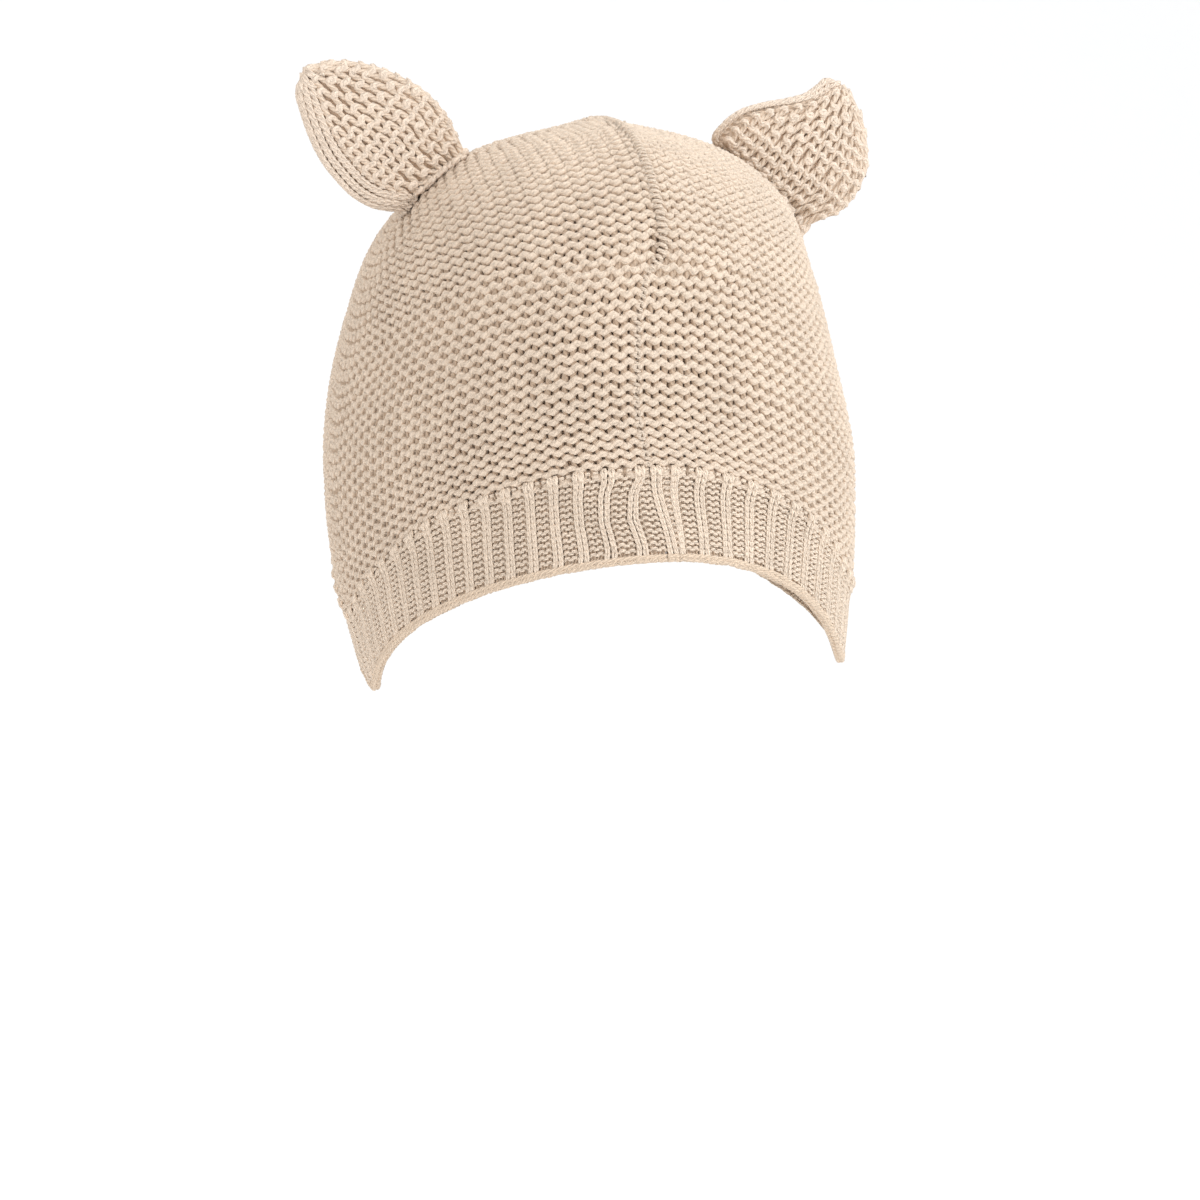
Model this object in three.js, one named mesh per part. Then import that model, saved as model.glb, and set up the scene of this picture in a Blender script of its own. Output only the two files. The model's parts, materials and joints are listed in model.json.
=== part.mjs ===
// An earflap beanie for a baby: a purl-knit body in two halves sewn along the centre, a 2 by 2 ribbed band
// that dips over each ear, and two knitted animal ears.
//
// Millimetres, +Z up. The wearer faces -Y, so the wearer's right is -X. The origin is the top of the hollow,
// where the hat sits on the head.
//
// The hat is described by wales, the columns of stitches. A wale is named by its turn, the angle round the head
// from the front seam (0) over the ear (PI / 2) to the nape seam (PI). It climbs from the rim up to the ridge
// line on the crown. Places on a wale are measured by their height along the cloth above the rim.
import * as THREE from "three";

// Head size and crown, measured on the outside of the cloth.
const HALF_WIDTH = 71;
const FRONT_DEPTH = 86;
const BACK_DEPTH = 90;
const RIDGE_FRONT = 30; // the ridge line on the crown runs from here in front of the origin
const RIDGE_BACK = 34; // to here behind it
const RIDGE_LIFT = 4; // how far the sewn ridge stands up
const RIDGE_SPREAD = 12; // how far to the sides the lift dies away
const LIFT_FROM = -45; // the lift starts at this depth
const LIFT_FULL = -15; // and is whole above this one
const CROWN_PEAK_Y = -22; // where the crown is highest
const CROWN_FALL = 16; // how far it falls from there to the front and back
const CROWN_REACH = 70; // the distance over which it falls
const FALL_FULL = 0.2; // the fall is whole above this share of the depth of the widest level
const CROWN_SHIFT = 0.42; // sets the top of the hollow at the origin

// How the profile changes round the head. widest: depth of the widest level below the crown. squareness: the
// power of the superellipse above that level. hollow: how much flatter its shoulder is than the superellipse.
// taper: how much the cloth closes in below the widest level, over the length reach; over an ear it is the flap's.
const PROFILES = {
  front: { widest: 58, squareness: 2.5, hollow: 0, taper: 0.03, reach: 50 },
  side: { widest: 92, squareness: 2.6, hollow: 0.065, reach: 54 },
  back: { widest: 72, squareness: 2.2, hollow: 0, taper: 0.15, reach: 56 },
};
const SHOULDER_POWER = 1.5; // how narrowly the flattening keeps to the middle of the shoulder
const TAPER_POWER = 2.3;
const FLAP_FORWARD = 8; // how far the flaps swing forward at the end of that reach
const SWING_POWER = 1.5;

// The rim: high over the forehead, lowest at the flap tips over the ears, half way at the nape. The hat sits a
// little askew, so the flap on the wearer's left comes further forward and is blunter, and the other one is
// pulled longer and lies closer to the head.
// turn: where the tip is, in degrees. tip: how low the two arms of the rim would meet there. level: how low the
// flap is cut off straight. rounding: how softly these three meet. band: height of the band on the flap.
// narrowing: the turns, in degrees, between which the band's height changes from that in front to the flap's.
const RIM_FRONT = -104.8;
const RIM_NAPE = -121;
const FLAPS = [
  {
    side: 1,
    name: "left",
    turn: 70,
    tip: -153,
    level: -144,
    rounding: 5,
    band: 22,
    narrowing: [5, 45],
    taper: 0.06,
  },
  {
    side: -1,
    name: "right",
    turn: 89,
    tip: -151.5,
    level: -158,
    rounding: 2.5,
    band: 22,
    narrowing: [45, 72],
    taper: 0.1,
  },
];
const ARCH_POWER = 2; // how long the rim stays high over the forehead

// The front seam isn't straight: it wanders to the side, and is pinched where the crown shaping starts.
const SEAM_WANDER = [
  { height: 0, sideways: 0 },
  { height: 22, sideways: -4.5 },
  { height: 42, sideways: -7 },
  { height: 62, sideways: -6.5 },
  { height: 72, sideways: -4 },
  { height: 82, sideways: 0.5 },
  { height: 96, sideways: 0 },
];
const WANDER_SPREAD = THREE.MathUtils.degToRad(24);
const PINCH = { height: 82, depth: 2.4, length: 6, spread: THREE.MathUtils.degToRad(5) };

// The crown leans a little to the wearer's right: by this much in the middle, dying away above and below.
const LEAN = { out: 1.7, from: -17, full: -36, falling: -58, gone: -96 };

// A soft fold behind the wearer's left ear, where the back of the hat stands away from the head.
const BACK_FOLD = { turn: THREE.MathUtils.degToRad(128), height: 120, out: 3.5, round: 0.32, tall: 17 };

// Cloth.
const BODY_WALL = 2.9;
const BAND_WALL = 2.6;
const BAND_HEIGHT = 25; // at the front and the nape
const NAPE_FROM = THREE.MathUtils.degToRad(135); // behind this turn the flap's height becomes the nape's
const BAND_INSET = 0.7; // the band lies this much closer to the head than the body above it
const EDGE_INSET = 0.8; // rounding of the rim
const GAP = 0.3; // between sewn pieces
const EAR_SEAT = 0.4; // the ears' base over the smooth form, which leaves about the same gap

// Ribs on each half of the band. A rib is two knitted wales that stand out and two purled wales that lie back.
// The front seam has a knitted pair on its left and a purled pair on its right.
const RIBS_PER_HALF = 36;
const RIB_DEPTH = 0.9;
const RIB_COLUMNS = [
  { along: 0, raised: 0 },
  { along: 0.08, raised: 1 },
  { along: 0.4, raised: 1 },
  { along: 0.48, raised: 0 },
];
const RIB_START = { 1: 0, [-1]: 0.5 }; // how far into a rib each half starts

// Mesh steps.
const BODY_TURNS = 36;
const BODY_ROWS = 20;
const BAND_ROWS = [0, 0.09, 0.46, 1]; // shares of the band's height
const WALE_STEPS = 96;
const SKIRT_SHARE = 0.3; // share of a wale's steps that lie below the widest level
const DOME_SPACING = 1.2; // how much the steps above it crowd towards the ridge
const NORMAL_STEP = 0.02; // the turn to each side, in radians, between which a normal is taken
const SPACING_STEPS = 720; // fine steps round half the rim when ribs are spaced
const HALVINGS = 40; // when a place on the crown is searched
const SLOPE_STEP = 0.5; // the distance to each side between which the crown's slope is taken
const RIDGE_NEAR = 0.01; // a place this close to the ridge line counts as on it
const EAR_ROUND = 20;
const EAR_SQUARENESS = 0.7; // power of an ear's section; under 1 its faces are flatter than an ellipse

// The ears: leaves of two layers, sewn to the top corners. along: distance from the base on the ear's axis.
// low and high: half widths to the ear's lower and upper edge. thick: thickness. forward: how far the section
// bows to the front. cup: how far its edges curl, forward if positive.
const EARS = {
  ear_right: {
    side: -1,
    base_from: 34.5,
    base_to: 52.5,
    base_y: -7,
    tip: new THREE.Vector3(-79, -9, 17.5),
    sections: [
      { along: 0.0, low: 11.8, high: 12.2, thick: 5.6, forward: 0, cup: 0 },
      { along: 0.08, low: 14.2, high: 13.4, thick: 6.4, forward: 1, cup: 0.5 },
      { along: 0.18, low: 16.4, high: 15.2, thick: 6.8, forward: 2, cup: 1 },
      { along: 0.32, low: 17.6, high: 16.4, thick: 6.8, forward: 2.6, cup: 1.5 },
      { along: 0.46, low: 17.3, high: 16.3, thick: 6.6, forward: 2.6, cup: 1.5 },
      { along: 0.6, low: 15.9, high: 14.8, thick: 6.4, forward: 2, cup: 1.2 },
      { along: 0.74, low: 13.0, high: 12.2, thick: 6.2, forward: 1.2, cup: 0.8 },
      { along: 0.87, low: 9.2, high: 8.2, thick: 5.8, forward: 0.4, cup: 0.4 },
      { along: 0.96, low: 5.0, high: 4.6, thick: 4.6, forward: 0, cup: 0 },
      { along: 1.0, low: 1.4, high: 1.4, thick: 2.4, forward: 0, cup: 0 },
    ],
  },
  ear_left: {
    side: 1,
    base_from: 34.5,
    base_to: 57.5,
    base_y: -7,
    tip: new THREE.Vector3(68, -8, 10),
    sections: [
      { along: 0.0, low: 13.4, high: 17.2, thick: 5.6, forward: 0, cup: 0 },
      { along: 0.1, low: 16.4, high: 20.4, thick: 6.4, forward: 1.5, cup: 1 },
      { along: 0.24, low: 18.9, high: 21.0, thick: 6.8, forward: 2.6, cup: 2 },
      { along: 0.38, low: 20.0, high: 19.6, thick: 6.8, forward: 3, cup: 3 },
      { along: 0.52, low: 19.6, high: 15.8, thick: 6.8, forward: 2.8, cup: 3.4 },
      { along: 0.66, low: 18.0, high: 10.8, thick: 6.8, forward: 2, cup: 3.2 },
      { along: 0.78, low: 14.8, high: 6.8, thick: 6.6, forward: 0.6, cup: 2.2 },
      { along: 0.88, low: 11.4, high: 4.6, thick: 6.2, forward: -1, cup: 1.2 },
      { along: 0.96, low: 6.4, high: 3.4, thick: 5, forward: -2, cup: 0.5 },
      { along: 1.0, low: 2.4, high: 1.4, thick: 2.6, forward: -2.4, cup: 0 },
    ],
  },
};

const YARN = new THREE.Color("#dcc5a8");

const { clamp, lerp, smoothstep } = THREE.MathUtils;

// A value at one turn: the front's or back's value fades into the side's over the ears.
function fadeRound(turn, side, front, back) {
  return lerp(side, Math.cos(turn) > 0 ? front : back, Math.cos(turn) ** 2);
}

// A named profile value at one turn.
function profileAt(turn, name) {
  return fadeRound(turn, PROFILES.side[name], PROFILES.front[name], PROFILES.back[name]);
}

// Value between the rows of a table, with an easy passage from each row to the next.
function fromTable(table, key, at, value) {
  const next = table.findIndex((row) => row[key] >= at);
  if (next === 0) return table[0][value];
  if (next < 0) return table[table.length - 1][value];
  const part = (at - table[next - 1][key]) / (table[next][key] - table[next - 1][key]);
  return lerp(table[next - 1][value], table[next][value], smoothstep(part, 0, 1));
}

// Height of the rim: the front arch and the rise to the nape meet at the flap tip, rounded into each other and
// into the level where the flap is cut off.
function rimHeight(flap, turn) {
  const tipTurn = THREE.MathUtils.degToRad(flap.turn);
  const arch = RIM_FRONT + (flap.tip - RIM_FRONT) * (turn / tipTurn) ** ARCH_POWER;
  const toNape = (Math.PI - turn) / (Math.PI - tipTurn);
  const rise = RIM_NAPE + (flap.tip - RIM_NAPE) * toNape ** ARCH_POWER;
  const parts = [arch, rise, flap.level].map((depth) => Math.exp(depth / flap.rounding));
  return flap.rounding * Math.log(parts[0] + parts[1] + parts[2]);
}

// Height of the band's upper edge along the cloth.
function bandHeight(side, turn) {
  const flap = FLAPS.find((row) => row.side === side);
  const [from, to] = flap.narrowing.map(THREE.MathUtils.degToRad);
  const onFlap = smoothstep(turn, from, to) * (1 - smoothstep(turn, NAPE_FROM, Math.PI));
  return lerp(BAND_HEIGHT, flap.band, onFlap);
}

// How far a depth lies below the widest level, as a share of the length over which the cloth closes in.
function belowWidest(turn, depth) {
  return Math.max(0, -profileAt(turn, "widest") - depth) / profileAt(turn, "reach");
}

// A point of the smooth outer form from its turn, its reach out from the ridge line (0 to 1) and its depth.
function placeOnForm(side, turn, reach, depth) {
  const front = Math.cos(turn) > 0;
  const ridge = front ? RIDGE_FRONT : RIDGE_BACK;
  const end = front ? FRONT_DEPTH : BACK_DEPTH;
  const x = HALF_WIDTH * reach * Math.sin(turn);
  const swing = FLAP_FORWARD * belowWidest(turn, depth) ** SWING_POWER * Math.sin(turn) ** 2;
  const y = -(ridge + (end - ridge) * reach) * Math.cos(turn) - swing;
  const widest = profileAt(turn, "widest");
  const crown = smoothstep(depth, -widest, -FALL_FULL * widest);
  const bend = CROWN_FALL * (1 - Math.exp(-(((y - CROWN_PEAK_Y) / CROWN_REACH) ** 2))) * crown;
  const lift = RIDGE_LIFT * Math.exp(-x / RIDGE_SPREAD) * smoothstep(depth, LIFT_FROM, LIFT_FULL);
  return new THREE.Vector3(side * x, y, depth - bend + lift + CROWN_SHIFT);
}

// Reach out from the ridge line at a depth above the widest level: a superellipse with a flatter shoulder.
function domeReach(turn, depth) {
  const widest = profileAt(turn, "widest");
  const power = profileAt(turn, "squareness");
  const fall = clamp(-depth / widest, 0, 1);
  const shoulder = profileAt(turn, "hollow") * Math.sin(Math.PI * fall) ** SHOULDER_POWER;
  return (1 - (1 - fall) ** power) ** (1 / power) * (1 - shoulder);
}

// Reach at a depth below the widest level, where the cloth closes in towards the rim.
function skirtReach(flap, turn, depth) {
  const taper = fadeRound(turn, flap.taper, PROFILES.front.taper, PROFILES.back.taper);
  return 1 - taper * belowWidest(turn, depth) ** TAPER_POWER;
}

// One wale as points from the rim to the ridge line, with the height along the cloth of each.
function makeWale(side, turn) {
  const flap = FLAPS.find((row) => row.side === side);
  const rim = rimHeight(flap, turn);
  const widest = profileAt(turn, "widest");
  const skirtSteps = Math.round(WALE_STEPS * SKIRT_SHARE);
  const points = [];
  for (let i = 0; i < skirtSteps; i++) {
    const depth = lerp(rim, -widest, i / skirtSteps);
    points.push(placeOnForm(side, turn, skirtReach(flap, turn, depth), depth));
  }
  const domeSteps = WALE_STEPS - skirtSteps;
  for (let i = 0; i <= domeSteps; i++) {
    const swing = (Math.PI / 2) * (i / domeSteps);
    const depth = -widest * (1 - Math.sin(swing) ** DOME_SPACING);
    points.push(placeOnForm(side, turn, domeReach(turn, depth), depth));
  }
  const heights = [0];
  for (let i = 1; i < points.length; i++) heights.push(heights[i - 1] + points[i].distanceTo(points[i - 1]));
  return { side, turn, points, heights, length: heights[heights.length - 1] };
}

// Lean of the crown, sideways wander of the seam, the pinch in it and the fold behind the wearer's left ear.
function soften(point, wale, height) {
  const above = 1 - smoothstep(point.z, LEAN.full, LEAN.from);
  point.x -= LEAN.out * above * smoothstep(point.z, LEAN.gone, LEAN.falling);
  const near = Math.exp(-((wale.turn / WANDER_SPREAD) ** 2));
  point.x += fromTable(SEAM_WANDER, "height", height, "sideways") * near;
  const pinchAlong = Math.exp(-(((height - PINCH.height) / PINCH.length) ** 2));
  const pinchAcross = Math.exp(-((wale.turn / PINCH.spread) ** 2));
  point.y += PINCH.depth * pinchAlong * pinchAcross;
  if (wale.side > 0) {
    const round = (wale.turn - BACK_FOLD.turn) / BACK_FOLD.round;
    const tall = (height - BACK_FOLD.height) / BACK_FOLD.tall;
    const out = BACK_FOLD.out * Math.exp(-(round ** 2) - tall ** 2);
    point.x += out * Math.sin(wale.turn);
    point.y -= out * Math.cos(wale.turn);
  }
  return point;
}

// The point at one height along a wale.
function pointOnWale(wale, height) {
  const at = clamp(height, 0, wale.length);
  let i = 1;
  while (i < wale.heights.length - 1 && wale.heights[i] < at) i++;
  const part = (at - wale.heights[i - 1]) / (wale.heights[i] - wale.heights[i - 1]);
  const point = wale.points[i - 1].clone().lerp(wale.points[i], part);
  return soften(point, wale, at);
}

// Turns spaced evenly at the middle of the band, by the distance from wale to wale, square to the wales.
function evenTurns(side, places) {
  const middle = BAND_HEIGHT / 2;
  const widths = [0];
  let last = makeWale(side, 0);
  for (let i = 1; i <= SPACING_STEPS; i++) {
    const wale = makeWale(side, (Math.PI * i) / SPACING_STEPS);
    const step = pointOnWale(wale, middle).sub(pointOnWale(last, middle));
    const up = pointOnWale(wale, middle + 1).sub(pointOnWale(wale, middle - 1)).normalize();
    widths.push(widths[i - 1] + step.cross(up).length());
    last = wale;
  }
  return places.map((place) => {
    const want = place * widths[SPACING_STEPS];
    let i = 1;
    while (i < SPACING_STEPS && widths[i] < want) i++;
    const part = (want - widths[i - 1]) / (widths[i] - widths[i - 1]);
    return (Math.PI * (i - 1 + part)) / SPACING_STEPS;
  });
}

// Unit normal of the cloth at one height of a wale, pointing away from the hollow. On the seams it has no
// sideways part, so that the sewn faces stay flat, and on the ridge line it points up.
function normalOnWale(wale, height) {
  if (height > wale.length - RIDGE_NEAR) return new THREE.Vector3(0, 0, 1);
  const before = makeWale(wale.side, Math.max(wale.turn - NORMAL_STEP, 0));
  const after = makeWale(wale.side, Math.min(wale.turn + NORMAL_STEP, Math.PI));
  const round = pointOnWale(after, height).sub(pointOnWale(before, height));
  const up = pointOnWale(wale, height + 1).sub(pointOnWale(wale, height - 1));
  const normal = round.cross(up).multiplyScalar(wale.side);
  if (wale.turn === 0 || wale.turn === Math.PI) normal.setX(0);
  return normal.normalize();
}

// A closed body from an outer and an inner grid of the same size, joined round their four edges.
function shellGeometry(outer, inner, side) {
  const columns = outer.length;
  const rows = outer[0].length;
  const positions = [];
  for (const grid of [outer, inner]) {
    for (const column of grid) for (const point of column) positions.push(point.x, point.y, point.z);
  }
  const at = (layer, i, j) => (layer * columns + i) * rows + j;
  const faces = [];
  const quad = (a, b, c, d) => {
    const corners = side > 0 ? [a, b, c, a, c, d] : [a, c, b, a, d, c];
    faces.push(...corners);
  };
  for (let i = 0; i < columns - 1; i++) {
    for (let j = 0; j < rows - 1; j++) {
      quad(at(0, i, j), at(0, i + 1, j), at(0, i + 1, j + 1), at(0, i, j + 1));
      quad(at(1, i, j), at(1, i, j + 1), at(1, i + 1, j + 1), at(1, i + 1, j));
    }
    quad(at(0, i, 0), at(1, i, 0), at(1, i + 1, 0), at(0, i + 1, 0));
    quad(at(0, i, rows - 1), at(0, i + 1, rows - 1), at(1, i + 1, rows - 1), at(1, i, rows - 1));
  }
  for (let j = 0; j < rows - 1; j++) {
    quad(at(0, 0, j), at(0, 0, j + 1), at(1, 0, j + 1), at(1, 0, j));
    quad(at(0, columns - 1, j), at(1, columns - 1, j), at(1, columns - 1, j + 1), at(0, columns - 1, j + 1));
  }
  return indexed(positions, faces);
}

function indexed(positions, faces) {
  const geometry = new THREE.BufferGeometry();
  geometry.setAttribute("position", new THREE.Float32BufferAttribute(positions, 3));
  geometry.setIndex(faces);
  geometry.computeVertexNormals();
  return geometry;
}

// Moves every point half a gap away from the seam plane on its own side.
function leaveSeamGap(grid, side) {
  for (const column of grid) for (const point of column) point.x += (side * GAP) / 2;
}

// One half of the body, from the band up to the ridge.
function bodyGeometry(side) {
  const outer = [];
  const inner = [];
  for (let i = 0; i <= BODY_TURNS; i++) {
    const wale = makeWale(side, (Math.PI * i) / BODY_TURNS);
    outer.push([]);
    inner.push([]);
    for (let j = 0; j <= BODY_ROWS; j++) {
      const height = lerp(bandHeight(side, wale.turn) + GAP / 2, wale.length, j / BODY_ROWS);
      const point = pointOnWale(wale, height);
      const within = point.clone().addScaledVector(normalOnWale(wale, height), -BODY_WALL);
      const limit = Math.min(side * (outer[0][j] ?? point).x, side * point.x);
      if (side * within.x < limit) within.x = side * limit;
      outer[i].push(point);
      inner[i].push(within);
    }
  }
  leaveSeamGap(outer, side);
  leaveSeamGap(inner, side);
  return shellGeometry(outer, inner, side);
}

// One half of the ribbed band. Its cloth is folded in and out by the ribs, and rounded at the rim.
function bandGeometry(side) {
  const start = RIB_START[side];
  const places = [0];
  const raised = [0];
  for (let rib = 0; rib <= RIBS_PER_HALF; rib++) {
    for (const column of RIB_COLUMNS) {
      const place = (rib + column.along - start) / RIBS_PER_HALF;
      if (place <= 0 || place >= 1) continue;
      places.push(place);
      raised.push(column.raised);
    }
  }
  places.push(1);
  raised.push(0);
  const outer = [];
  const inner = [];
  evenTurns(side, places).forEach((turn, i) => {
    const wale = makeWale(side, turn);
    const trough = BAND_INSET + RIB_DEPTH * (1 - raised[i]);
    const top = bandHeight(side, turn) - GAP / 2;
    const column = BAND_ROWS.map((share) => ({
      point: pointOnWale(wale, share * top),
      normal: normalOnWale(wale, share * top),
      rounding: share === 0 ? EDGE_INSET : 0,
    }));
    const inwards = (row, depth) => row.point.clone().addScaledVector(row.normal, -trough - depth);
    outer.push(column.map((row) => inwards(row, row.rounding)));
    inner.push(column.map((row) => inwards(row, BAND_WALL - row.rounding)));
  });
  leaveSeamGap(outer, side);
  leaveSeamGap(inner, side);
  return shellGeometry(outer, inner, side);
}

// Height of the outer crown above a point of the ground plan, found by halving the reach.
function crownHeight(x, y) {
  const front = y < 0;
  const ridge = front ? RIDGE_FRONT : RIDGE_BACK;
  const end = front ? FRONT_DEPTH : BACK_DEPTH;
  let low = 1e-3;
  let high = 1;
  for (let step = 0; step < HALVINGS; step++) {
    const reach = (low + high) / 2;
    const round = (x / (HALF_WIDTH * reach)) ** 2 + (y / (ridge + (end - ridge) * reach)) ** 2;
    if (round > 1) low = reach;
    else high = reach;
  }
  const reach = high;
  const turn = Math.atan2(Math.abs(x) / (HALF_WIDTH * reach), -y / (ridge + (end - ridge) * reach));
  let top = 0;
  let bottom = -profileAt(turn, "widest");
  for (let step = 0; step < HALVINGS; step++) {
    const depth = (top + bottom) / 2;
    if (domeReach(turn, depth) < reach) top = depth;
    else bottom = depth;
  }
  return placeOnForm(1, turn, reach, top).z;
}

// Height that clears the crown by a gap, measured square to its slope.
function heightOverCrown(x, y, gap) {
  const height = crownHeight(x, y);
  const slopeX = (crownHeight(x + SLOPE_STEP, y) - crownHeight(x - SLOPE_STEP, y)) / (2 * SLOPE_STEP);
  const slopeY = (crownHeight(x, y + SLOPE_STEP) - crownHeight(x, y - SLOPE_STEP)) / (2 * SLOPE_STEP);
  return height + gap * Math.hypot(1, slopeX, slopeY);
}

// One ear: rings of points round its axis, the first ring lying on the crown and the last closed by its middle.
function earGeometry(ear) {
  const base = ["base_from", "base_to"].map((name) => {
    const x = ear.side * ear[name];
    return new THREE.Vector3(x, ear.base_y, crownHeight(x, ear.base_y));
  });
  const foot = base[0].clone().lerp(base[1], 0.5);
  const axis = ear.tip.clone().sub(foot);
  const front = new THREE.Vector3(0, -1, 0);
  const across = new THREE.Vector3().crossVectors(front, axis).normalize().multiplyScalar(ear.side);
  if (across.z < 0) across.negate();
  const positions = [];
  ear.sections.forEach((section, ring) => {
    for (let i = 0; i < EAR_ROUND; i++) {
      const angle = (2 * Math.PI * i) / EAR_ROUND;
      const wide = Math.cos(angle);
      const width = wide * (wide > 0 ? section.high : section.low);
      const deep = Math.sign(Math.sin(angle)) * Math.abs(Math.sin(angle)) ** EAR_SQUARENESS * (section.thick / 2);
      const point = foot.clone().addScaledVector(axis, section.along);
      point.addScaledVector(across, width);
      point.addScaledVector(front, deep + section.forward + section.cup * (wide ** 2 - 0.5));
      if (ring === 0) {
        const share = (1 - wide) / 2;
        point.x = lerp(base[0].x, base[1].x, share);
        point.y = ear.base_y - deep;
        point.z = heightOverCrown(point.x, point.y, EAR_SEAT);
      } else point.z = Math.max(point.z, heightOverCrown(point.x, point.y, 2 * EAR_SEAT));
      positions.push(point.x, point.y, point.z);
    }
  });
  const faces = [];
  const tri = (a, b, c) => (ear.side < 0 ? faces.push(a, b, c) : faces.push(a, c, b));
  for (let ring = 0; ring < ear.sections.length - 1; ring++) {
    for (let i = 0; i < EAR_ROUND; i++) {
      const a = ring * EAR_ROUND + i;
      const b = ring * EAR_ROUND + ((i + 1) % EAR_ROUND);
      tri(a, a + EAR_ROUND, b + EAR_ROUND);
      tri(a, b + EAR_ROUND, b);
    }
  }
  const last = (ear.sections.length - 1) * EAR_ROUND;
  for (let i = 0; i < EAR_ROUND / 2; i++) {
    const mirror = (k) => (EAR_ROUND - k) % EAR_ROUND;
    if (i > 0) {
      tri(i, i + 1, mirror(i));
      tri(last + i, last + mirror(i), last + i + 1);
    }
    if (i + 1 < EAR_ROUND / 2) {
      tri(mirror(i), i + 1, mirror(i + 1));
      tri(last + mirror(i), last + mirror(i + 1), last + i + 1);
    }
  }
  return indexed(positions, faces);
}

function knitMaterial() {
  return new THREE.MeshStandardMaterial({ color: YARN, roughness: 0.95, metalness: 0 });
}

const hat = new THREE.Group();

function addPiece(name, geometry) {
  const mesh = new THREE.Mesh(geometry, knitMaterial());
  mesh.name = name;
  hat.add(mesh);
}

for (const { side, name } of FLAPS) {
  addPiece(`crown_${name}`, bodyGeometry(side));
  addPiece(`rib_band_${name}`, bandGeometry(side));
}
for (const [name, ear] of Object.entries(EARS)) addPiece(name, earGeometry(ear));

export default hat;
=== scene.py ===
# %% [markdown]
# # A baby's earflap beanie, knitted stitch by stitch
#
# The real hat is cotton yarn and nothing else: a body knitted purl side out in two halves, a ribbed band
# that dips over each ear, and two small knitted ears. A bump pattern on a smooth cap would show the colour
# of such a cloth, but not its scalloped outline or the dark gaps between its loops. So the yarn itself is
# laid here, row by row, as tubes that follow a loop formula over the hat's form. Sizes are in millimetres
# and become metres when a mesh is made.

import json

import bmesh
import bpy
import numpy as np
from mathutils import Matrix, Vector

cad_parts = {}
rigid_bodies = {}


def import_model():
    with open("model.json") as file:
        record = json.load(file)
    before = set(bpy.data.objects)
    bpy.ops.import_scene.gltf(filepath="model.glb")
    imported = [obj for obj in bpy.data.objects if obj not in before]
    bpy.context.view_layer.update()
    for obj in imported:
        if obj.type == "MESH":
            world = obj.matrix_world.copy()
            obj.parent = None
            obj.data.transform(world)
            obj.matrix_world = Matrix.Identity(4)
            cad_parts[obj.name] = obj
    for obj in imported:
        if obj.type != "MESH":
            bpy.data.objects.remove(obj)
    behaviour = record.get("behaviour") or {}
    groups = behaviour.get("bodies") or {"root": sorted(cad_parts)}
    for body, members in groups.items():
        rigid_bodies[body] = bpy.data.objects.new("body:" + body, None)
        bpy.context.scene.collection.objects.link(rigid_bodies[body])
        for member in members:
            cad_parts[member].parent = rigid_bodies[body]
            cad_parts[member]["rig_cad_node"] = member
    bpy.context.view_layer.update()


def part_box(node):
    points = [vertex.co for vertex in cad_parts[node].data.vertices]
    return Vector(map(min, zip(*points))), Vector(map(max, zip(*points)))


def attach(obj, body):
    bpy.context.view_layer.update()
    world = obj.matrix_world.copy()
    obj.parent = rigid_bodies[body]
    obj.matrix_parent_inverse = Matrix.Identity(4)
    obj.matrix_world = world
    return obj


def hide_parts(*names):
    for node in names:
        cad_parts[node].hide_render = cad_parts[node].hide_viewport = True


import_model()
MM = 0.001

# %% [markdown]
# ## The camera
#
# A hat on a head is best seen from a little above the brow and a little to the wearer's right. A long lens
# from over a metre away keeps its proportions true, as in a catalogue picture.

# %% The camera
VIEW_AZIMUTH = np.radians(-14)
VIEW_ELEVATION = np.radians(7.5)
VIEW_DISTANCE = 1.3
HAT_MIDDLE = np.array([0, 0, -0.065])
AIM_RIGHT = 0.0032
AIM_DOWN = 0.0624
FOCAL_LENGTH = 144.4


def look_from(azimuth, elevation):
    """Unit vector to the viewer: (sin a cos e, -cos a cos e, sin e)."""
    level = np.array([np.sin(azimuth), -np.cos(azimuth), 0])
    return level * np.cos(elevation) + [0, 0, np.sin(elevation)]


def new_object(name, data):
    """Links a mesh, camera or light to the scene as an object."""
    thing = bpy.data.objects.new(name, data)
    bpy.context.scene.collection.objects.link(thing)
    return thing


def aim(thing, place, target):
    """Puts a camera or light at place, with its -Z axis to target."""
    thing.location = Vector(place)
    thing.rotation_euler = (Vector(target) - Vector(place)).to_track_quat("-Z", "Y").to_euler()


to_viewer = look_from(VIEW_AZIMUTH, VIEW_ELEVATION)
to_right = np.array([np.cos(VIEW_AZIMUTH), np.sin(VIEW_AZIMUTH), 0])
camera = new_object("camera", bpy.data.cameras.new("camera"))
camera.data.lens = FOCAL_LENGTH
camera.data.sensor_width = 36
camera.data.clip_end = 30
aim_point = HAT_MIDDLE + AIM_RIGHT * to_right - AIM_DOWN * np.cross(to_right, -to_viewer)
aim(camera, HAT_MIDDLE + VIEW_DISTANCE * to_viewer, aim_point)
bpy.context.scene.camera = camera

# %% [markdown]
# ## The stage and its light
#
# A white sweep of paper runs from under the hat up behind it, so that no horizon shows from the front. The
# hat hangs where a head would hold it, well above the paper. Three large soft lights and a pale sky stand for
# a photographer's white room: the one from the wearer's left is the strongest, and it models the loops.

# %% The stage and its light: helpers
FLOOR_HEIGHT = -0.5


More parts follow.
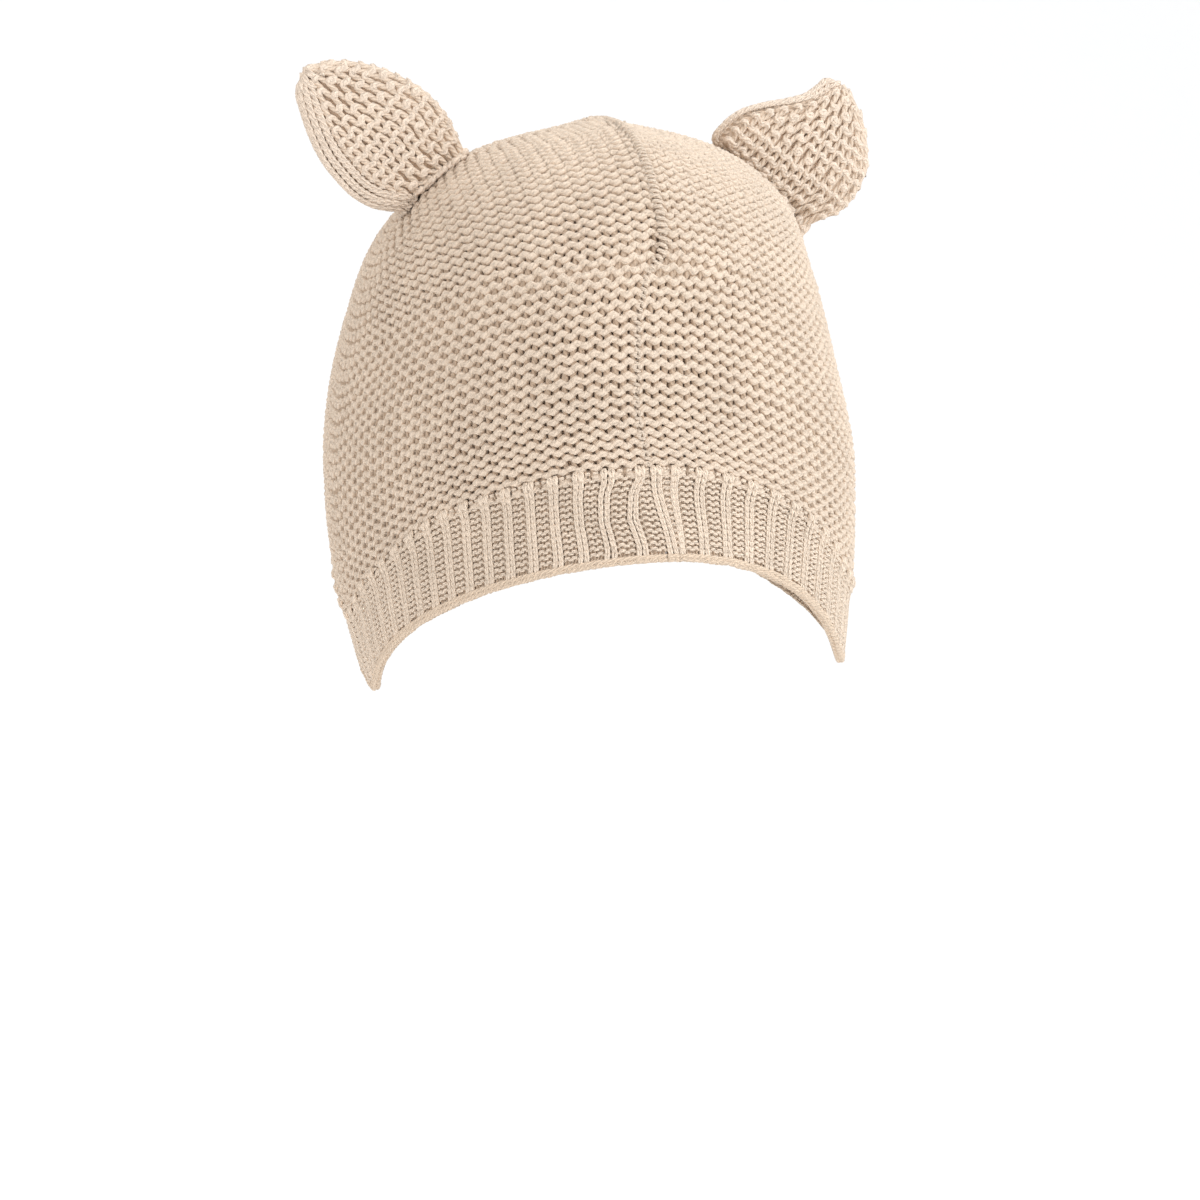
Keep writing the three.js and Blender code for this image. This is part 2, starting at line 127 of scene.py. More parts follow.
def sweep_stage():
    """A floor that bends up into a wall: y runs back, and z rises on a quarter circle of the radius."""
    radius, wide, front, back, tall, steps = 1.2, 6.0, -3.0, 1.6, 3.5, 25
    bend = np.linspace(0, np.pi / 2, steps)
    y = np.concatenate([[front], back + radius * np.sin(bend), [back + radius]])
    z = np.concatenate([[0], radius * (1 - np.cos(bend)), [tall]]) + FLOOR_HEIGHT
    grid = np.stack(np.broadcast_arrays([-wide, wide], y[:, None], z[:, None]), -1)
    corner = np.arange(len(y) - 1)[:, None] * 2
    mesh = bpy.data.meshes.new("sweep")
    mesh.from_pydata(grid.reshape(-1, 3).tolist(), [], (corner + [0, 1, 3, 2]).tolist())
    mesh.polygons.foreach_set("use_smooth", np.ones(len(corner), bool))
    return new_object("sweep", mesh)


def set_inputs(node, values):
    """Gives a node's inputs plain values, by their names."""
    for label, value in values.items():
        node.inputs[label].default_value = value


def new_material(name, values):
    """A material with plain values on its Principled shader, and that shader."""
    material = bpy.data.materials.new(name)
    material.use_nodes = True
    shader = material.node_tree.nodes["Principled BSDF"]
    set_inputs(shader, values)
    return material, shader


def soft_light(name, azimuth, elevation, distance, size, power, color=(1, 1, 1)):
    """A square area light on a sphere round the hat, turned to it."""
    light = bpy.data.lights.new(name, "AREA")
    light.size, light.energy, light.color = size, power, color
    away = distance * look_from(np.radians(azimuth), np.radians(elevation))
    aim(new_object(name, light), HAT_MIDDLE + away, HAT_MIDDLE)


# %% The stage and its light: paper, lights and sky
sweep = sweep_stage()
paper, _ = new_material("white paper", {"Base Color": (0.93, 0.93, 0.93, 1), "Roughness": 0.9})
sweep.data.materials.append(paper)
soft_light("key light", 48, 32, 1.6, 1.0, 15.6, (0.89, 0.95, 1.0))
soft_light("fill light", -50, 8, 1.8, 1.4, 6)
soft_light("top light", 160, 65, 1.6, 1.2, 6)
world = bpy.data.worlds.new("white room")
bpy.context.scene.world = world
world.use_nodes = True
set_inputs(world.node_tree.nodes["Background"], {"Color": (1, 1, 1, 1), "Strength": 0.95})
bpy.context.scene.view_settings.view_transform = "Standard"

# %% [markdown]
# ## The form of the hat
#
# The cloth is described by wales, the columns of stitches. A wale is named by its turn, the angle round the
# head from the front seam (0) over the ear (90 degrees) to the nape seam (180 degrees), and a place on it by
# its height along the cloth above the rim. These are the same formulas that the solid part was built from, so
# the yarn lies in the skin of the solids. One table of points, a row for each wale and a column for each
# millimetre of height, holds the form of half a hat; the other half is its mirror image.

# %% The form: sizes
HALF_WIDTH = 71.0
FRONT_DEPTH = 86.0
BACK_DEPTH = 90.0
RIDGE_FRONT = 30.0
RIDGE_BACK = 34.0
RIDGE_LIFT = 4.0
RIDGE_SPREAD = 12.0
LIFT_FROM, LIFT_FULL = -45.0, -15.0
CROWN_PEAK_Y = -22.0
CROWN_FALL = 16.0
CROWN_REACH = 70.0
FALL_FULL = 0.2
CROWN_SHIFT = 0.42
PROFILES = {
    "front": {"widest": 58, "squareness": 2.5, "hollow": 0, "taper": 0.03, "reach": 50},
    "side": {"widest": 92, "squareness": 2.6, "hollow": 0.065, "reach": 54},
    "back": {"widest": 72, "squareness": 2.2, "hollow": 0, "taper": 0.15, "reach": 56},
}
SHOULDER_POWER = 1.5
TAPER_POWER = 2.3
FLAP_FORWARD = 8.0
SWING_POWER = 1.5
RIM_FRONT = -104.8
RIM_NAPE = -121.0
SIDES = {"left": 1, "right": -1}
FLAPS = {
    1: {"turn": np.radians(70), "tip": -153, "level": -144, "rounding": 5, "taper": 0.06},
    -1: {"turn": np.radians(89), "tip": -151.5, "level": -158, "rounding": 2.5, "taper": 0.1},
}
ARCH_POWER = 2
BAND_HEIGHT = 25.0
BAND_ON_FLAP = 22.0
NARROWING = {1: np.radians([5, 45]), -1: np.radians([45, 72])}
NAPE_FROM = np.radians(135)
SEAM_WANDER = {0: 0, 22: -4.5, 42: -7, 62: -6.5, 72: -4, 82: 0.5, 96: 0}
WANDER_SPREAD = np.radians(24)
PINCH = {"height": 82, "depth": 2.4, "length": 6, "spread": np.radians(5)}
LEAN = {"out": 1.7, "from": -17, "full": -36, "falling": -58, "gone": -96}
BACK_FOLD = {"turn": np.radians(128), "height": 120, "out": 3.5, "round": 0.32, "tall": 17}
SKIRT_STEPS = 29
DOME_STEPS = 67
DOME_SPACING = 1.2
TURN_COUNT = 361
TURNS = np.linspace(0, np.pi, TURN_COUNT)


# %% The form: formulas
def ease(value, start, end):
    """0 before start, 1 after end, and 3t^2 - 2t^3 between them."""
    share = np.clip((value - start) / (end - start), 0, 1)
    return share * share * (3 - 2 * share)


def profile_at(turn, name, over_ear=None):
    """side + (end - side) cos^2 turn, with the front's or the back's value as end."""
    side = PROFILES["side"][name] if over_ear is None else over_ear
    end = np.where(np.cos(turn) > 0, PROFILES["front"][name], PROFILES["back"][name])
    return side + (end - side) * np.cos(turn) ** 2


def rim_height(side, turn, rounding=None):
    """Rounded maximum of three lines, the arch from the brow to the flap tip, the rise from there to the nape
    and the level at which the flap is cut off: r ln(e^(arch / r) + e^(rise / r) + e^(level / r))."""
    flap = FLAPS[side]
    rounding = flap["rounding"] if rounding is None else rounding
    arch = RIM_FRONT + (flap["tip"] - RIM_FRONT) * (turn / flap["turn"]) ** ARCH_POWER
    to_nape = (np.pi - turn) / (np.pi - flap["turn"])
    rise = RIM_NAPE + (flap["tip"] - RIM_NAPE) * to_nape**ARCH_POWER
    arms = np.logaddexp(arch / rounding, rise / rounding)
    return rounding * np.logaddexp(arms, flap["level"] / rounding)


def band_height(side, turn):
    """Height of the band's upper edge: one height in front and at the nape, and a smaller one on the flap."""
    on_flap = ease(turn, *NARROWING[side]) * (1 - ease(turn, NAPE_FROM, np.pi))
    return BAND_HEIGHT + (BAND_ON_FLAP - BAND_HEIGHT) * on_flap


def below_widest(turn, depth):
    """How far a depth lies below the widest level, as a share of the length that closes in there."""
    return np.maximum(0, -profile_at(turn, "widest") - depth) / profile_at(turn, "reach")


# %% The form: places on it
def place_on_form(turn, reach, depth):
    """x = width reach sin(turn), y = -(ridge + (end - ridge) reach) cos(turn) - swing, and z = depth - bend
    + lift + shift."""
    front = np.cos(turn) > 0
    ridge = np.where(front, RIDGE_FRONT, RIDGE_BACK)
    end = np.where(front, FRONT_DEPTH, BACK_DEPTH)
    x = HALF_WIDTH * reach * np.sin(turn)
    swing = FLAP_FORWARD * below_widest(turn, depth) ** SWING_POWER * np.sin(turn) ** 2
    y = -(ridge + (end - ridge) * reach) * np.cos(turn) - swing
    widest = profile_at(turn, "widest")
    crown = ease(depth, -widest, -FALL_FULL * widest)
    bend = CROWN_FALL * (1 - np.exp(-(((y - CROWN_PEAK_Y) / CROWN_REACH) ** 2))) * crown
    lift = RIDGE_LIFT * np.exp(-x / RIDGE_SPREAD) * ease(depth, LIFT_FROM, LIFT_FULL)
    return np.stack([x, y, depth - bend + lift + CROWN_SHIFT], -1)


def dome_reach(turn, depth):
    """Reach at a depth above the widest level: (1 - (1 - fall)^n)^(1/n), less hollow sin(pi fall)^1.5."""
    power = profile_at(turn, "squareness")
    fall = np.clip(-depth / profile_at(turn, "widest"), 0, 1)
    shoulder = profile_at(turn, "hollow") * np.sin(np.pi * fall) ** SHOULDER_POWER
    return (1 - (1 - fall) ** power) ** (1 / power) * (1 - shoulder)


def wale_points(side, turn):
    """Points up each wale: a skirt that closes in towards the rim, reach = 1 - taper below^2.3, and above it
    the dome."""
    turn = turn[:, None]
    rim, widest = rim_height(side, turn), profile_at(turn, "widest")
    low = rim + (-widest - rim) * np.arange(SKIRT_STEPS) / SKIRT_STEPS
    taper = profile_at(turn, "taper", FLAPS[side]["taper"])
    skirt = place_on_form(turn, 1 - taper * below_widest(turn, low) ** TAPER_POWER, low)
    swing = np.linspace(0, np.pi / 2, DOME_STEPS + 1)
    high = -widest * (1 - np.sin(swing) ** DOME_SPACING)
    dome = place_on_form(turn, dome_reach(turn, high), high)
    return np.concatenate([skirt, dome], 1) * [side, 1, 1]


def lengths_along(points, axis=0):
    """Running length of a line of points, which starts at 0."""
    steps = np.linalg.norm(np.diff(points, axis=axis), axis=-1)
    return np.insert(np.cumsum(steps, axis=axis), 0, 0, axis=axis)


def between(at, places, table):
    """Each column of a table, whose rows lie at the places, taken anew at other places."""
    return np.stack([np.interp(at, places, column) for column in table.T], -1)


def unit(vectors):
    """Vectors divided by their lengths."""
    return vectors / np.maximum(np.linalg.norm(vectors, axis=-1, keepdims=True), 1e-9)


# %% The form: one table for each half
HEIGHTS = np.arange(0, 230)
UPWARDS = [0.0, 0.0, 1.0]


def even_heights(points):
    """The points of each wale, taken anew at every millimetre of height, and the length of each wale."""
    heights = lengths_along(points, axis=1)
    wales = [between(HEIGHTS, height, wale) for height, wale in zip(heights, points)]
    return np.stack(wales), heights[:, -1]


def soften(form, side):
    """Leans the crown, and adds the wander of the front seam, its pinch, and a fold behind the wearer's left
    ear, each a bell e^(-d^2) round its place."""
    soft = form.copy()
    above = 1 - ease(form[..., 2], LEAN["full"], LEAN["from"])
    soft[..., 0] -= LEAN["out"] * above * ease(form[..., 2], LEAN["gone"], LEAN["falling"])
    near = np.exp(-((TURNS / WANDER_SPREAD) ** 2))[:, None]
    knots, moves = list(SEAM_WANDER), list(SEAM_WANDER.values())
    before = np.clip(np.searchsorted(knots, HEIGHTS, side="left") - 1, 0, len(knots) - 2)
    share = ease(HEIGHTS, np.take(knots, before), np.take(knots, before + 1))
    wander = np.take(moves, before) * (1 - share) + np.take(moves, before + 1) * share
    pinch = PINCH["depth"] * np.exp(-(((HEIGHTS - PINCH["height"]) / PINCH["length"]) ** 2))
    soft[..., 0] += wander * near
    soft[..., 1] += pinch * np.exp(-((TURNS / PINCH["spread"]) ** 2))[:, None]
    if side > 0:
        round_part = ((TURNS - BACK_FOLD["turn"]) / BACK_FOLD["round"])[:, None]
        tall_part = (HEIGHTS - BACK_FOLD["height"]) / BACK_FOLD["tall"]
        out = BACK_FOLD["out"] * np.exp(-(round_part**2) - tall_part**2)
        soft[..., 0] += out * np.sin(TURNS)[:, None]
        soft[..., 1] -= out * np.cos(TURNS)[:, None]
    return soft


def normals_of(form, side):
    """Unit normals away from the hollow: the cross product of the table's two slopes, and straight up where
    it is nothing."""
    normal = np.cross(np.gradient(form, axis=0), np.gradient(form, axis=1)) * side
    flat = np.linalg.norm(normal, axis=-1, keepdims=True) < 1e-6
    return np.where(flat, UPWARDS, unit(normal))


def agreement(solid, skin):
    """The largest distance in millimetres between the sides of a solid's box and of a skin of points."""
    low, high = np.array([list(corner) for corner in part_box(solid)]) / MM
    return np.abs([skin.min(0) - low, skin.max(0) - high]).max().round(2)


FORMS, FORM_NORMALS, WALE_LENGTHS = {}, {}, {}
for name, side in SIDES.items():
    form, WALE_LENGTHS[side] = even_heights(wale_points(side, TURNS))
    FORMS[side] = soften(form, side)
    FORM_NORMALS[side] = normals_of(FORMS[side], side)
    skin = FORMS[side][HEIGHTS > band_height(side, TURNS)[:, None]]
    print(name, "wales are up to", WALE_LENGTHS[side].max().round(1), "mm long")
    print("crown_" + name, "form and solid agree within", agreement("crown_" + name, skin), "mm")


# %% The form: reading the table
LAST_STEP = 1.001


def look_up(table, row, column):
    """Value between the four nearest entries of a table (bilinear), at fractional rows and columns."""
    row = np.clip(row, 0, table.shape[0] - LAST_STEP)
    column = np.clip(column, 0, table.shape[1] - LAST_STEP)
    i, j = row.astype(int), column.astype(int)
    u, v = row - i, column - j
    if table.ndim > 2:
        u, v = u[..., None], v[..., None]
    below = table[i, j] * (1 - u) + table[i + 1, j] * u
    above = table[i, j + 1] * (1 - u) + table[i + 1, j + 1] * u
    return below * (1 - v) + above * v


def on_form(side, turn, height, depth):
    """Points that lie depth millimetres under the skin of one half, and the skin's normals there."""
    row = turn / np.pi * (TURN_COUNT - 1)
    point = look_up(FORMS[side], row, height)
    normal = unit(look_up(FORM_NORMALS[side], row, height))
    return point - np.asarray(depth)[..., None] * normal, normal


# %% [markdown]
# ## The colour of the yarn
#
# The yarn is cotton that looks undyed, in three plies: matt, with pale fibres standing off it. Its colour
# hardly changes, but light is lost between the loops, so the colour is taken down towards a darker colour
# with the depth at which the yarn lies in the cloth: painted shade. That depth is stored on the mesh, and the
# twist of the plies follows the yarn's own UV map. Each effect is a group of nodes, so that all the yarns
# share it. A fibre shader with real hairs would need millions of strands for a difference that a picture of
# this size doesn't show.


# %% The colour of the yarn: node groups
def new_group(name, inputs, outputs):
    """A shader node group with named sockets, and its input and output nodes."""
    group = bpy.data.node_groups.new(name, "ShaderNodeTree")
    for label, kind, value in inputs:
        socket = group.interface.new_socket(label, in_out="INPUT", socket_type="NodeSocket" + kind)
        socket.default_value = value
    for label, kind in outputs:
        group.interface.new_socket(label, in_out="OUTPUT", socket_type="NodeSocket" + kind)
    return group, group.nodes.new("NodeGroupInput"), group.nodes.new("NodeGroupOutput")


def add_node(tree, kind, settings, *links):
    """Adds a node, sets its properties, and feeds its inputs in order from sockets or with plain values."""
    node = tree.nodes.new("ShaderNode" + kind)
    for label, value in settings.items():
        setattr(node, label, value)
    for place, link in enumerate(links):
        if isinstance(link, bpy.types.NodeSocket):
            tree.links.new(link, node.inputs[place])
        elif link is not None:
            node.inputs[place].default_value = link
    return node


def steps_of(tree, value, *steps):
    """Steps of arithmetic one after another: each is an operation, and what it takes beside the result so
    far."""
    for operation, *others in steps:
        value = add_node(tree, "Math", {"operation": operation}, value, *others).outputs[0]
    return value


def map_axes(tree, name):
    """The two coordinates of a UV map."""
    place = add_node(tree, "UVMap", {"uv_map": name}).outputs["UV"]
    return add_node(tree, "SeparateXYZ", {}, place).outputs[:2]


# %% The colour of the yarn: the groups
def twist_group():
    """Height of a plied yarn: |sin(pi plies (v + u / lay))|, with u along the yarn in mm and v round it."""
    inputs = [("Plies", "Float", 3.0), ("Lay", "Float", 6.0)]
    group, given, result = new_group("yarn twist", inputs, [("Height", "Float")])
    u, v = map_axes(group, "yarn")
    turns = steps_of(group, u, ("DIVIDE", given.outputs["Lay"]), ("ADD", v))
    waves = steps_of(group, turns, ("MULTIPLY", given.outputs["Plies"]), ("MULTIPLY", np.pi))
    height = steps_of(group, waves, ("SINE",), ("ABSOLUTE",))
    group.links.new(height, result.inputs["Height"])
    return group


PATCH_SCALE = 70.0
FIBRE_SCALE = 2300.0
NOISE_DETAIL = 3.0
PATCH_SHARE = 0.3
NOISE_MEAN = 0.65
# painted shade: the power of the depth by which the yarn's colour turns to its darker shade colour
PAINTED_SHADE_POWER = 1.5


def cotton_group():
    """Colour of cotton at a depth in the cloth: the yarn's colour, varied a little by patches and fibres, and
    mixed by depth ^ 1.5 with a darker colour, which is painted shade."""
    inputs = [
        ("Yarn", "Color", (1, 1, 1, 1)),
        ("Painted shade", "Color", (0, 0, 0, 1)),
        ("Depth", "Float", 0.0),
        ("Variation", "Float", 0.7),
    ]
    outputs = [("Color", "Color"), ("Fibres", "Float")]
    group, given, result = new_group("cotton", inputs, outputs)
    place = add_node(group, "TexCoord", {}).outputs["Object"]
    broad = add_node(group, "TexNoise", {}, place, None, PATCH_SCALE, NOISE_DETAIL).outputs["Fac"]
    fine = add_node(group, "TexNoise", {}, place, None, FIBRE_SCALE, NOISE_DETAIL).outputs["Fac"]
    swing = steps_of(group, broad, ("MULTIPLY", PATCH_SHARE), ("ADD", fine), ("SUBTRACT", NOISE_MEAN))
    value = steps_of(group, swing, ("MULTIPLY", given.outputs["Variation"]), ("ADD", 1.0))
    tone = add_node(group, "HueSaturation", {})
    group.links.new(given.outputs["Yarn"], tone.inputs["Color"])
    group.links.new(value, tone.inputs["Value"])
    mix = add_node(group, "Mix", {"data_type": "RGBA"})
    deep = steps_of(group, given.outputs["Depth"], ("POWER", PAINTED_SHADE_POWER))
    group.links.new(deep, mix.inputs["Factor"])
    group.links.new(tone.outputs["Color"], mix.inputs["A"])
    group.links.new(given.outputs["Painted shade"], mix.inputs["B"])
    group.links.new(mix.outputs["Result"], result.inputs["Color"])
    group.links.new(fine, result.inputs["Fibres"])
    return group


TWIST = twist_group()
COTTON = cotton_group()


# %% The colour of the yarn: materials
def cotton_material(name, color, finish, distance):
    """Cotton with its colour from the group, and a bump node that still wants a height."""
    material, shader = new_material(name, finish)
    tree = material.node_tree
    cotton = add_node(tree, "Group", {"node_tree": COTTON})
    bump = add_node(tree, "Bump", {})
    set_inputs(cotton, {"Yarn": (*color, 1)})
    set_inputs(bump, {"Distance": distance})
    tree.links.new(cotton.outputs["Color"], shader.inputs["Base Color"])
    tree.links.new(bump.outputs["Normal"], shader.inputs["Normal"])
    return material, cotton, bump


YARN_BUMP = 0.00045
YARN_FINISH = {
    "Roughness": 0.95,
    "Specular IOR Level": 0.15,
    "Sheen Weight": 0.2,
    "Sheen Roughness": 0.6,
    "Sheen Tint": (1, 0.95, 0.88, 1),
}


def yarn_material(name, color, hollow):
    """Cotton yarn: darkened by its depth with painted shade, with its twist and fibres as bump, and a weak
    sheen for the standing fibres."""
    material, cotton, bump = cotton_material(name, color, YARN_FINISH, YARN_BUMP)
    tree = material.node_tree
    set_inputs(cotton, {"Painted shade": (*hollow, 1)})
    set_inputs(bump, {"Strength": 0.8})
    depth = add_node(tree, "Attribute", {"attribute_name": "depth"})
    tree.links.new(depth.outputs["Fac"], cotton.inputs["Depth"])
    twist = add_node(tree, "Group", {"node_tree": TWIST})
    relief = steps_of(tree, twist.outputs["Height"], ("ADD", cotton.outputs["Fibres"]))
    tree.links.new(relief, bump.inputs["Height"])
    return material


# The second colour of each yarn is its painted shade. The band and the ears are knitted from the body's
# cotton: their lighter colours are painted light, and the band's also makes up for the shade under the body's
# rows.
BODY_YARN = yarn_material("body yarn", (0.76, 0.615, 0.485), (0.42, 0.285, 0.185))
RIB_YARN = yarn_material("rib yarn", (0.9, 0.735, 0.585), (0.72, 0.55, 0.4))
EAR_YARN = yarn_material("ear yarn", (0.83, 0.68, 0.55), (0.76, 0.6, 0.46))

# %% [markdown]
# ## Yarn as a mesh
#
# A strand is a line of points with the cloth's normal at each. A round tube carried along it is the plainest
# way to a yarn that has a real thickness, casts shadows into the gaps and shows on the outline. Curve objects
# with a bevel would do it too, but numpy builds hundreds of rows at once and keeps the count of faces low.
# The tube's UV map runs along the yarn and round it, so that the twist of the plies can follow it.


# %% Yarn as a mesh: helpers
def tube_rings(points, normals, radius, angles):
    """A ring of points round each point of a strand: p + r (N' cos a + B sin a). The direction T comes from
    differences along the strand, B = T x N made a unit, and N' = B x T."""
    ahead = unit(np.gradient(points, axis=0))
    across = unit(np.cross(ahead, normals))
    up = np.cross(across, ahead)
    turn = up[:, None] * np.cos(angles)[:, None] + across[:, None] * np.sin(angles)[:, None]
    return points[:, None] + np.broadcast_to(radius, len(points))[:, None, None] * turn


def triangle_count(mesh):
    """Triangles of a mesh: a face of n corners counts n - 2."""
    return len(mesh.loops) - 2 * len(mesh.polygons)


def new_piece(mesh, *materials):
    """Makes a mesh a piece of the hat, with its materials."""
    for material in materials:
        mesh.materials.append(material)
    print(mesh.name, triangle_count(mesh), "triangles")
    return new_object(mesh.name, mesh)


def fill_mesh(mesh, verts, corners, totals):
    """Fills a mesh from points in millimetres, the corners of its faces in one run, and how many each has."""
    mesh.vertices.add(len(verts))
    mesh.vertices.foreach_set("co", (verts * MM).ravel())
    mesh.loops.add(len(corners))
    mesh.loops.foreach_set("vertex_index", corners)
    mesh.polygons.add(len(totals))
    mesh.polygons.foreach_set("loop_start", np.concatenate([[0], np.cumsum(totals)[:-1]]))
    mesh.polygons.foreach_set("use_smooth", np.ones(len(totals), bool))


# %% Yarn as a mesh: tubes
RING_GATHER = 0.35


def yarn_mesh(name, strands, sides):
    """Tubes round strands, closed at both ends, with the points of each ring closer together on the side that
    shows. A strand is (points, normals, radius, depth), where depth, 0 to 1, sets the painted shade of its
    colour; on most strands it is how deep the yarn lies."""
    even = 2 * np.pi * np.arange(sides) / sides
    angles = even - RING_GATHER * np.sin(even)
    rings = [tube_rings(points, normals, radius, angles) for points, normals, radius, _ in strands]
    runs = np.concatenate([lengths_along(points) for points, *_ in strands])
    ends = np.cumsum([len(ring) for ring in rings]) - 1
    starts = np.insert(ends[:-1] + 1, 0, 0)
    link = np.setdiff1d(np.arange(len(runs)), ends)
    k = np.arange(sides)
    after = (k + 1) % sides
    near, far = link[:, None] * sides, (link[:, None] + 1) * sides
    quads = np.stack([near + k, near + after, far + after, far + k], -1).reshape(-1, 4)
    caps = np.concatenate([starts[:, None] * sides + k[::-1], ends[:, None] * sides + k])
    corners = np.concatenate([quads.ravel(), caps.ravel()])
    mesh = bpy.data.meshes.new(name)
    totals = np.repeat([4, sides], [len(quads), len(caps)])
    fill_mesh(mesh, np.concatenate(rings).reshape(-1, 3), corners, totals)
    quad_turn = np.stack([k, k + 1, k + 1, k], -1)
    around = np.concatenate([np.tile(quad_turn, (len(link), 1)).ravel(), caps.ravel() % sides]) / sides
    layer = mesh.uv_layers.new(name="yarn")
    layer.data.foreach_set("uv", np.stack([runs[corners // sides], around], -1).ravel())
    depth = mesh.attributes.new("depth", "FLOAT", "POINT")
    depths = np.concatenate([np.repeat(deep, sides) for *_, deep in strands])
    depth.data.foreach_set("value", depths.astype(np.float32))
    mesh.update(calc_edges=True)
    mesh.validate()
    return mesh


# %% [markdown]
# ## Rows and wales on the body
#
# A row of knitting runs parallel to the rim, so a place in the cloth has two numbers: its row height, from
# the rim at the front, and its place along the row, in stitches from the front seam. In front the wales run
# parallel to the front seam and behind to the nape seam, and over the ear the two fields of stitches pass
# into each other. Low down each half has the same number of stitches in every row. From the notch in the
# front seam upwards the halves were cut to the shape of a crown: there the stitches keep their width, and
# the rows lose one now and then over the ear.

# %% Rows and wales on the body: sizes
ROW_LOW, ROW_HIGH = 2.5, 3.1
ROWS_GROW = 25.0
NOTCH_HEIGHT = 82.0
WALES_FRONT = {1: 25, -1: 28}
WALES_BACK = {1: 40, -1: 33}
CREST_ROUNDING = 14.0
CREST_FULL = 120.0
FEWEST_TURNS = 8
EAR_BLEND = 25.0
BAND_FADE = 40.0
ROW_GRID = np.arange(0, 200, 2.0)
ALL_TURNS = np.arange(TURN_COUNT)


# %% Rows and wales on the body: formulas
def row_step(row):
    """Distance to the next row: closer above the band, and wider from there upwards."""
    return ROW_LOW + (ROW_HIGH - ROW_LOW) * ease(row, BAND_HEIGHT, BAND_HEIGHT + ROWS_GROW)


def height_of_row(side, turn, row):
    """Height along a wale of a row: the row's own height, plus a lift that rounds the sharp turn of the rows
    over the flap tip, more so the higher the row is, less what the band is lower there."""
    own = FLAPS[side]["rounding"]
    rounding = own + (CREST_ROUNDING - own) * ease(row, BAND_HEIGHT, CREST_FULL)
    lift = rim_height(side, turn, rounding) - rim_height(side, turn)
    fading = 1 - ease(row, BAND_HEIGHT, BAND_HEIGHT + BAND_FADE)
    return row + lift + (band_height(side, turn) - BAND_HEIGHT) * fading


def crossing(excess, run, order):
    """Run at which a row leaves the ridge line: where its height over the wale's length passes zero."""
    over, along = excess[order], run[order]
    first = int(np.argmax(over <= 0))
    if first == 0:
        return along[0]
    share = over[first - 1] / (over[first - 1] - over[first])
    return along[first - 1] + share * (along[first] - along[first - 1])


# %% Rows and wales on the body: fields of stitches
def stitch_fields(side):
    """For each row height and turn: stitches from the front seam, stitches from the nape seam (below 0), and
    the share of the second, which rises over the ear. For each row height: its number of stitches."""
    ear = int(round(FLAPS[side]["turn"] / np.pi * (TURN_COUNT - 1)))
    fields, totals, widths = [], [], None
    for row in ROW_GRID:
        height = height_of_row(side, TURNS, row)
        excess = height - WALE_LENGTHS[side]
        if np.count_nonzero(excess <= 0) < FEWEST_TURNS:
            break
        run = lengths_along(look_up(FORMS[side], ALL_TURNS, height))
        start, end = crossing(excess, run, ALL_TURNS), crossing(excess, run, ALL_TURNS[::-1])
        if row <= NOTCH_HEIGHT:
            widths = (run[ear] - start) / WALES_FRONT[side], (end - run[ear]) / WALES_BACK[side]
        share = ease(run, run[ear] - EAR_BLEND, run[ear] + EAR_BLEND)
        fields.append([(run - start) / widths[0], (run - end) / widths[1], share])
        totals.append((run[ear] - start) / widths[0] + (end - run[ear]) / widths[1])
    print("stitches", np.round(widths, 2), "mm wide, in a row", np.round(totals[::20], 1))
    return np.array(fields), np.array(totals)


STITCH_FIELDS = {side: stitch_fields(side) for side in SIDES.values()}
ROW_TOP = {side: ROW_GRID[len(STITCH_FIELDS[side][1]) - 1] for side in SIDES.values()}


# %% Rows and wales on the body: points in the cloth
def stitches_in(side, row):
    """Whole number of stitches in a row of one half."""
    totals = STITCH_FIELDS[side][1]
    return int(round(np.interp(row, ROW_GRID[: len(totals)], totals)))


def turn_of_place(side, row, level, places):
    """Turn of each place along a row, on the wales as they lie at one level: the places from the front and
    from the nape are mixed by their share, and the result is read backwards."""
    at = np.clip(level / (ROW_GRID[1] - ROW_GRID[0]), 0, len(STITCH_FIELDS[side][0]) - LAST_STEP)
    i = int(at)
    below, above = STITCH_FIELDS[side][0][i], STITCH_FIELDS[side][0][i + 1]
    front, back, share = below + (above - below) * (at - i)
    place = front * (1 - share) + (stitches_in(side, row) + back) * share
    return np.interp(places, np.maximum.accumulate(place), TURNS)


def in_cloth(side, row, up, places, depth):
    """Points and normals in the cloth of one half, from a row, the rise over it, the place along it in
    stitches and the depth under the skin. The turn is worked out at three levels and taken between them."""
    half = max(np.abs(up).max(), 0.1)
    below, middle, above = (turn_of_place(side, row, row + rise, places) for rise in (-half, 0, half))
    turn = middle + (np.where(up > 0, above, below) - middle) * np.abs(up) / half
    return on_form(side, turn, height_of_row(side, turn, row + up), depth)


# %% [markdown]
# ## The purl loop
#
# Stocking stitch is one wave of yarn in each row. Seen from its purl side a loop shows its head and its foot,
# and its two legs lie behind. With t running one turn for each stitch and w the stitch width, h the row step:
#
# - sideways: w t / 2pi + swell sin 2t, where the swell widens heads and feet into an omega
# - up: -reach cos t, where the reach is most of a row, so that each head hooks over the foot above it
# - out: depth of the wave times cos 2t, outwards at heads and feet
# - thickness: soft yarn spreads on the free arcs and is squeezed thin between them, so the radius swings too
#
# Each stitch gets the same points, closer together round head and foot, where the yarn bends most. Chance
# moves the loops a little, as hands and machines do. The back of the hat gets two points fewer a stitch.

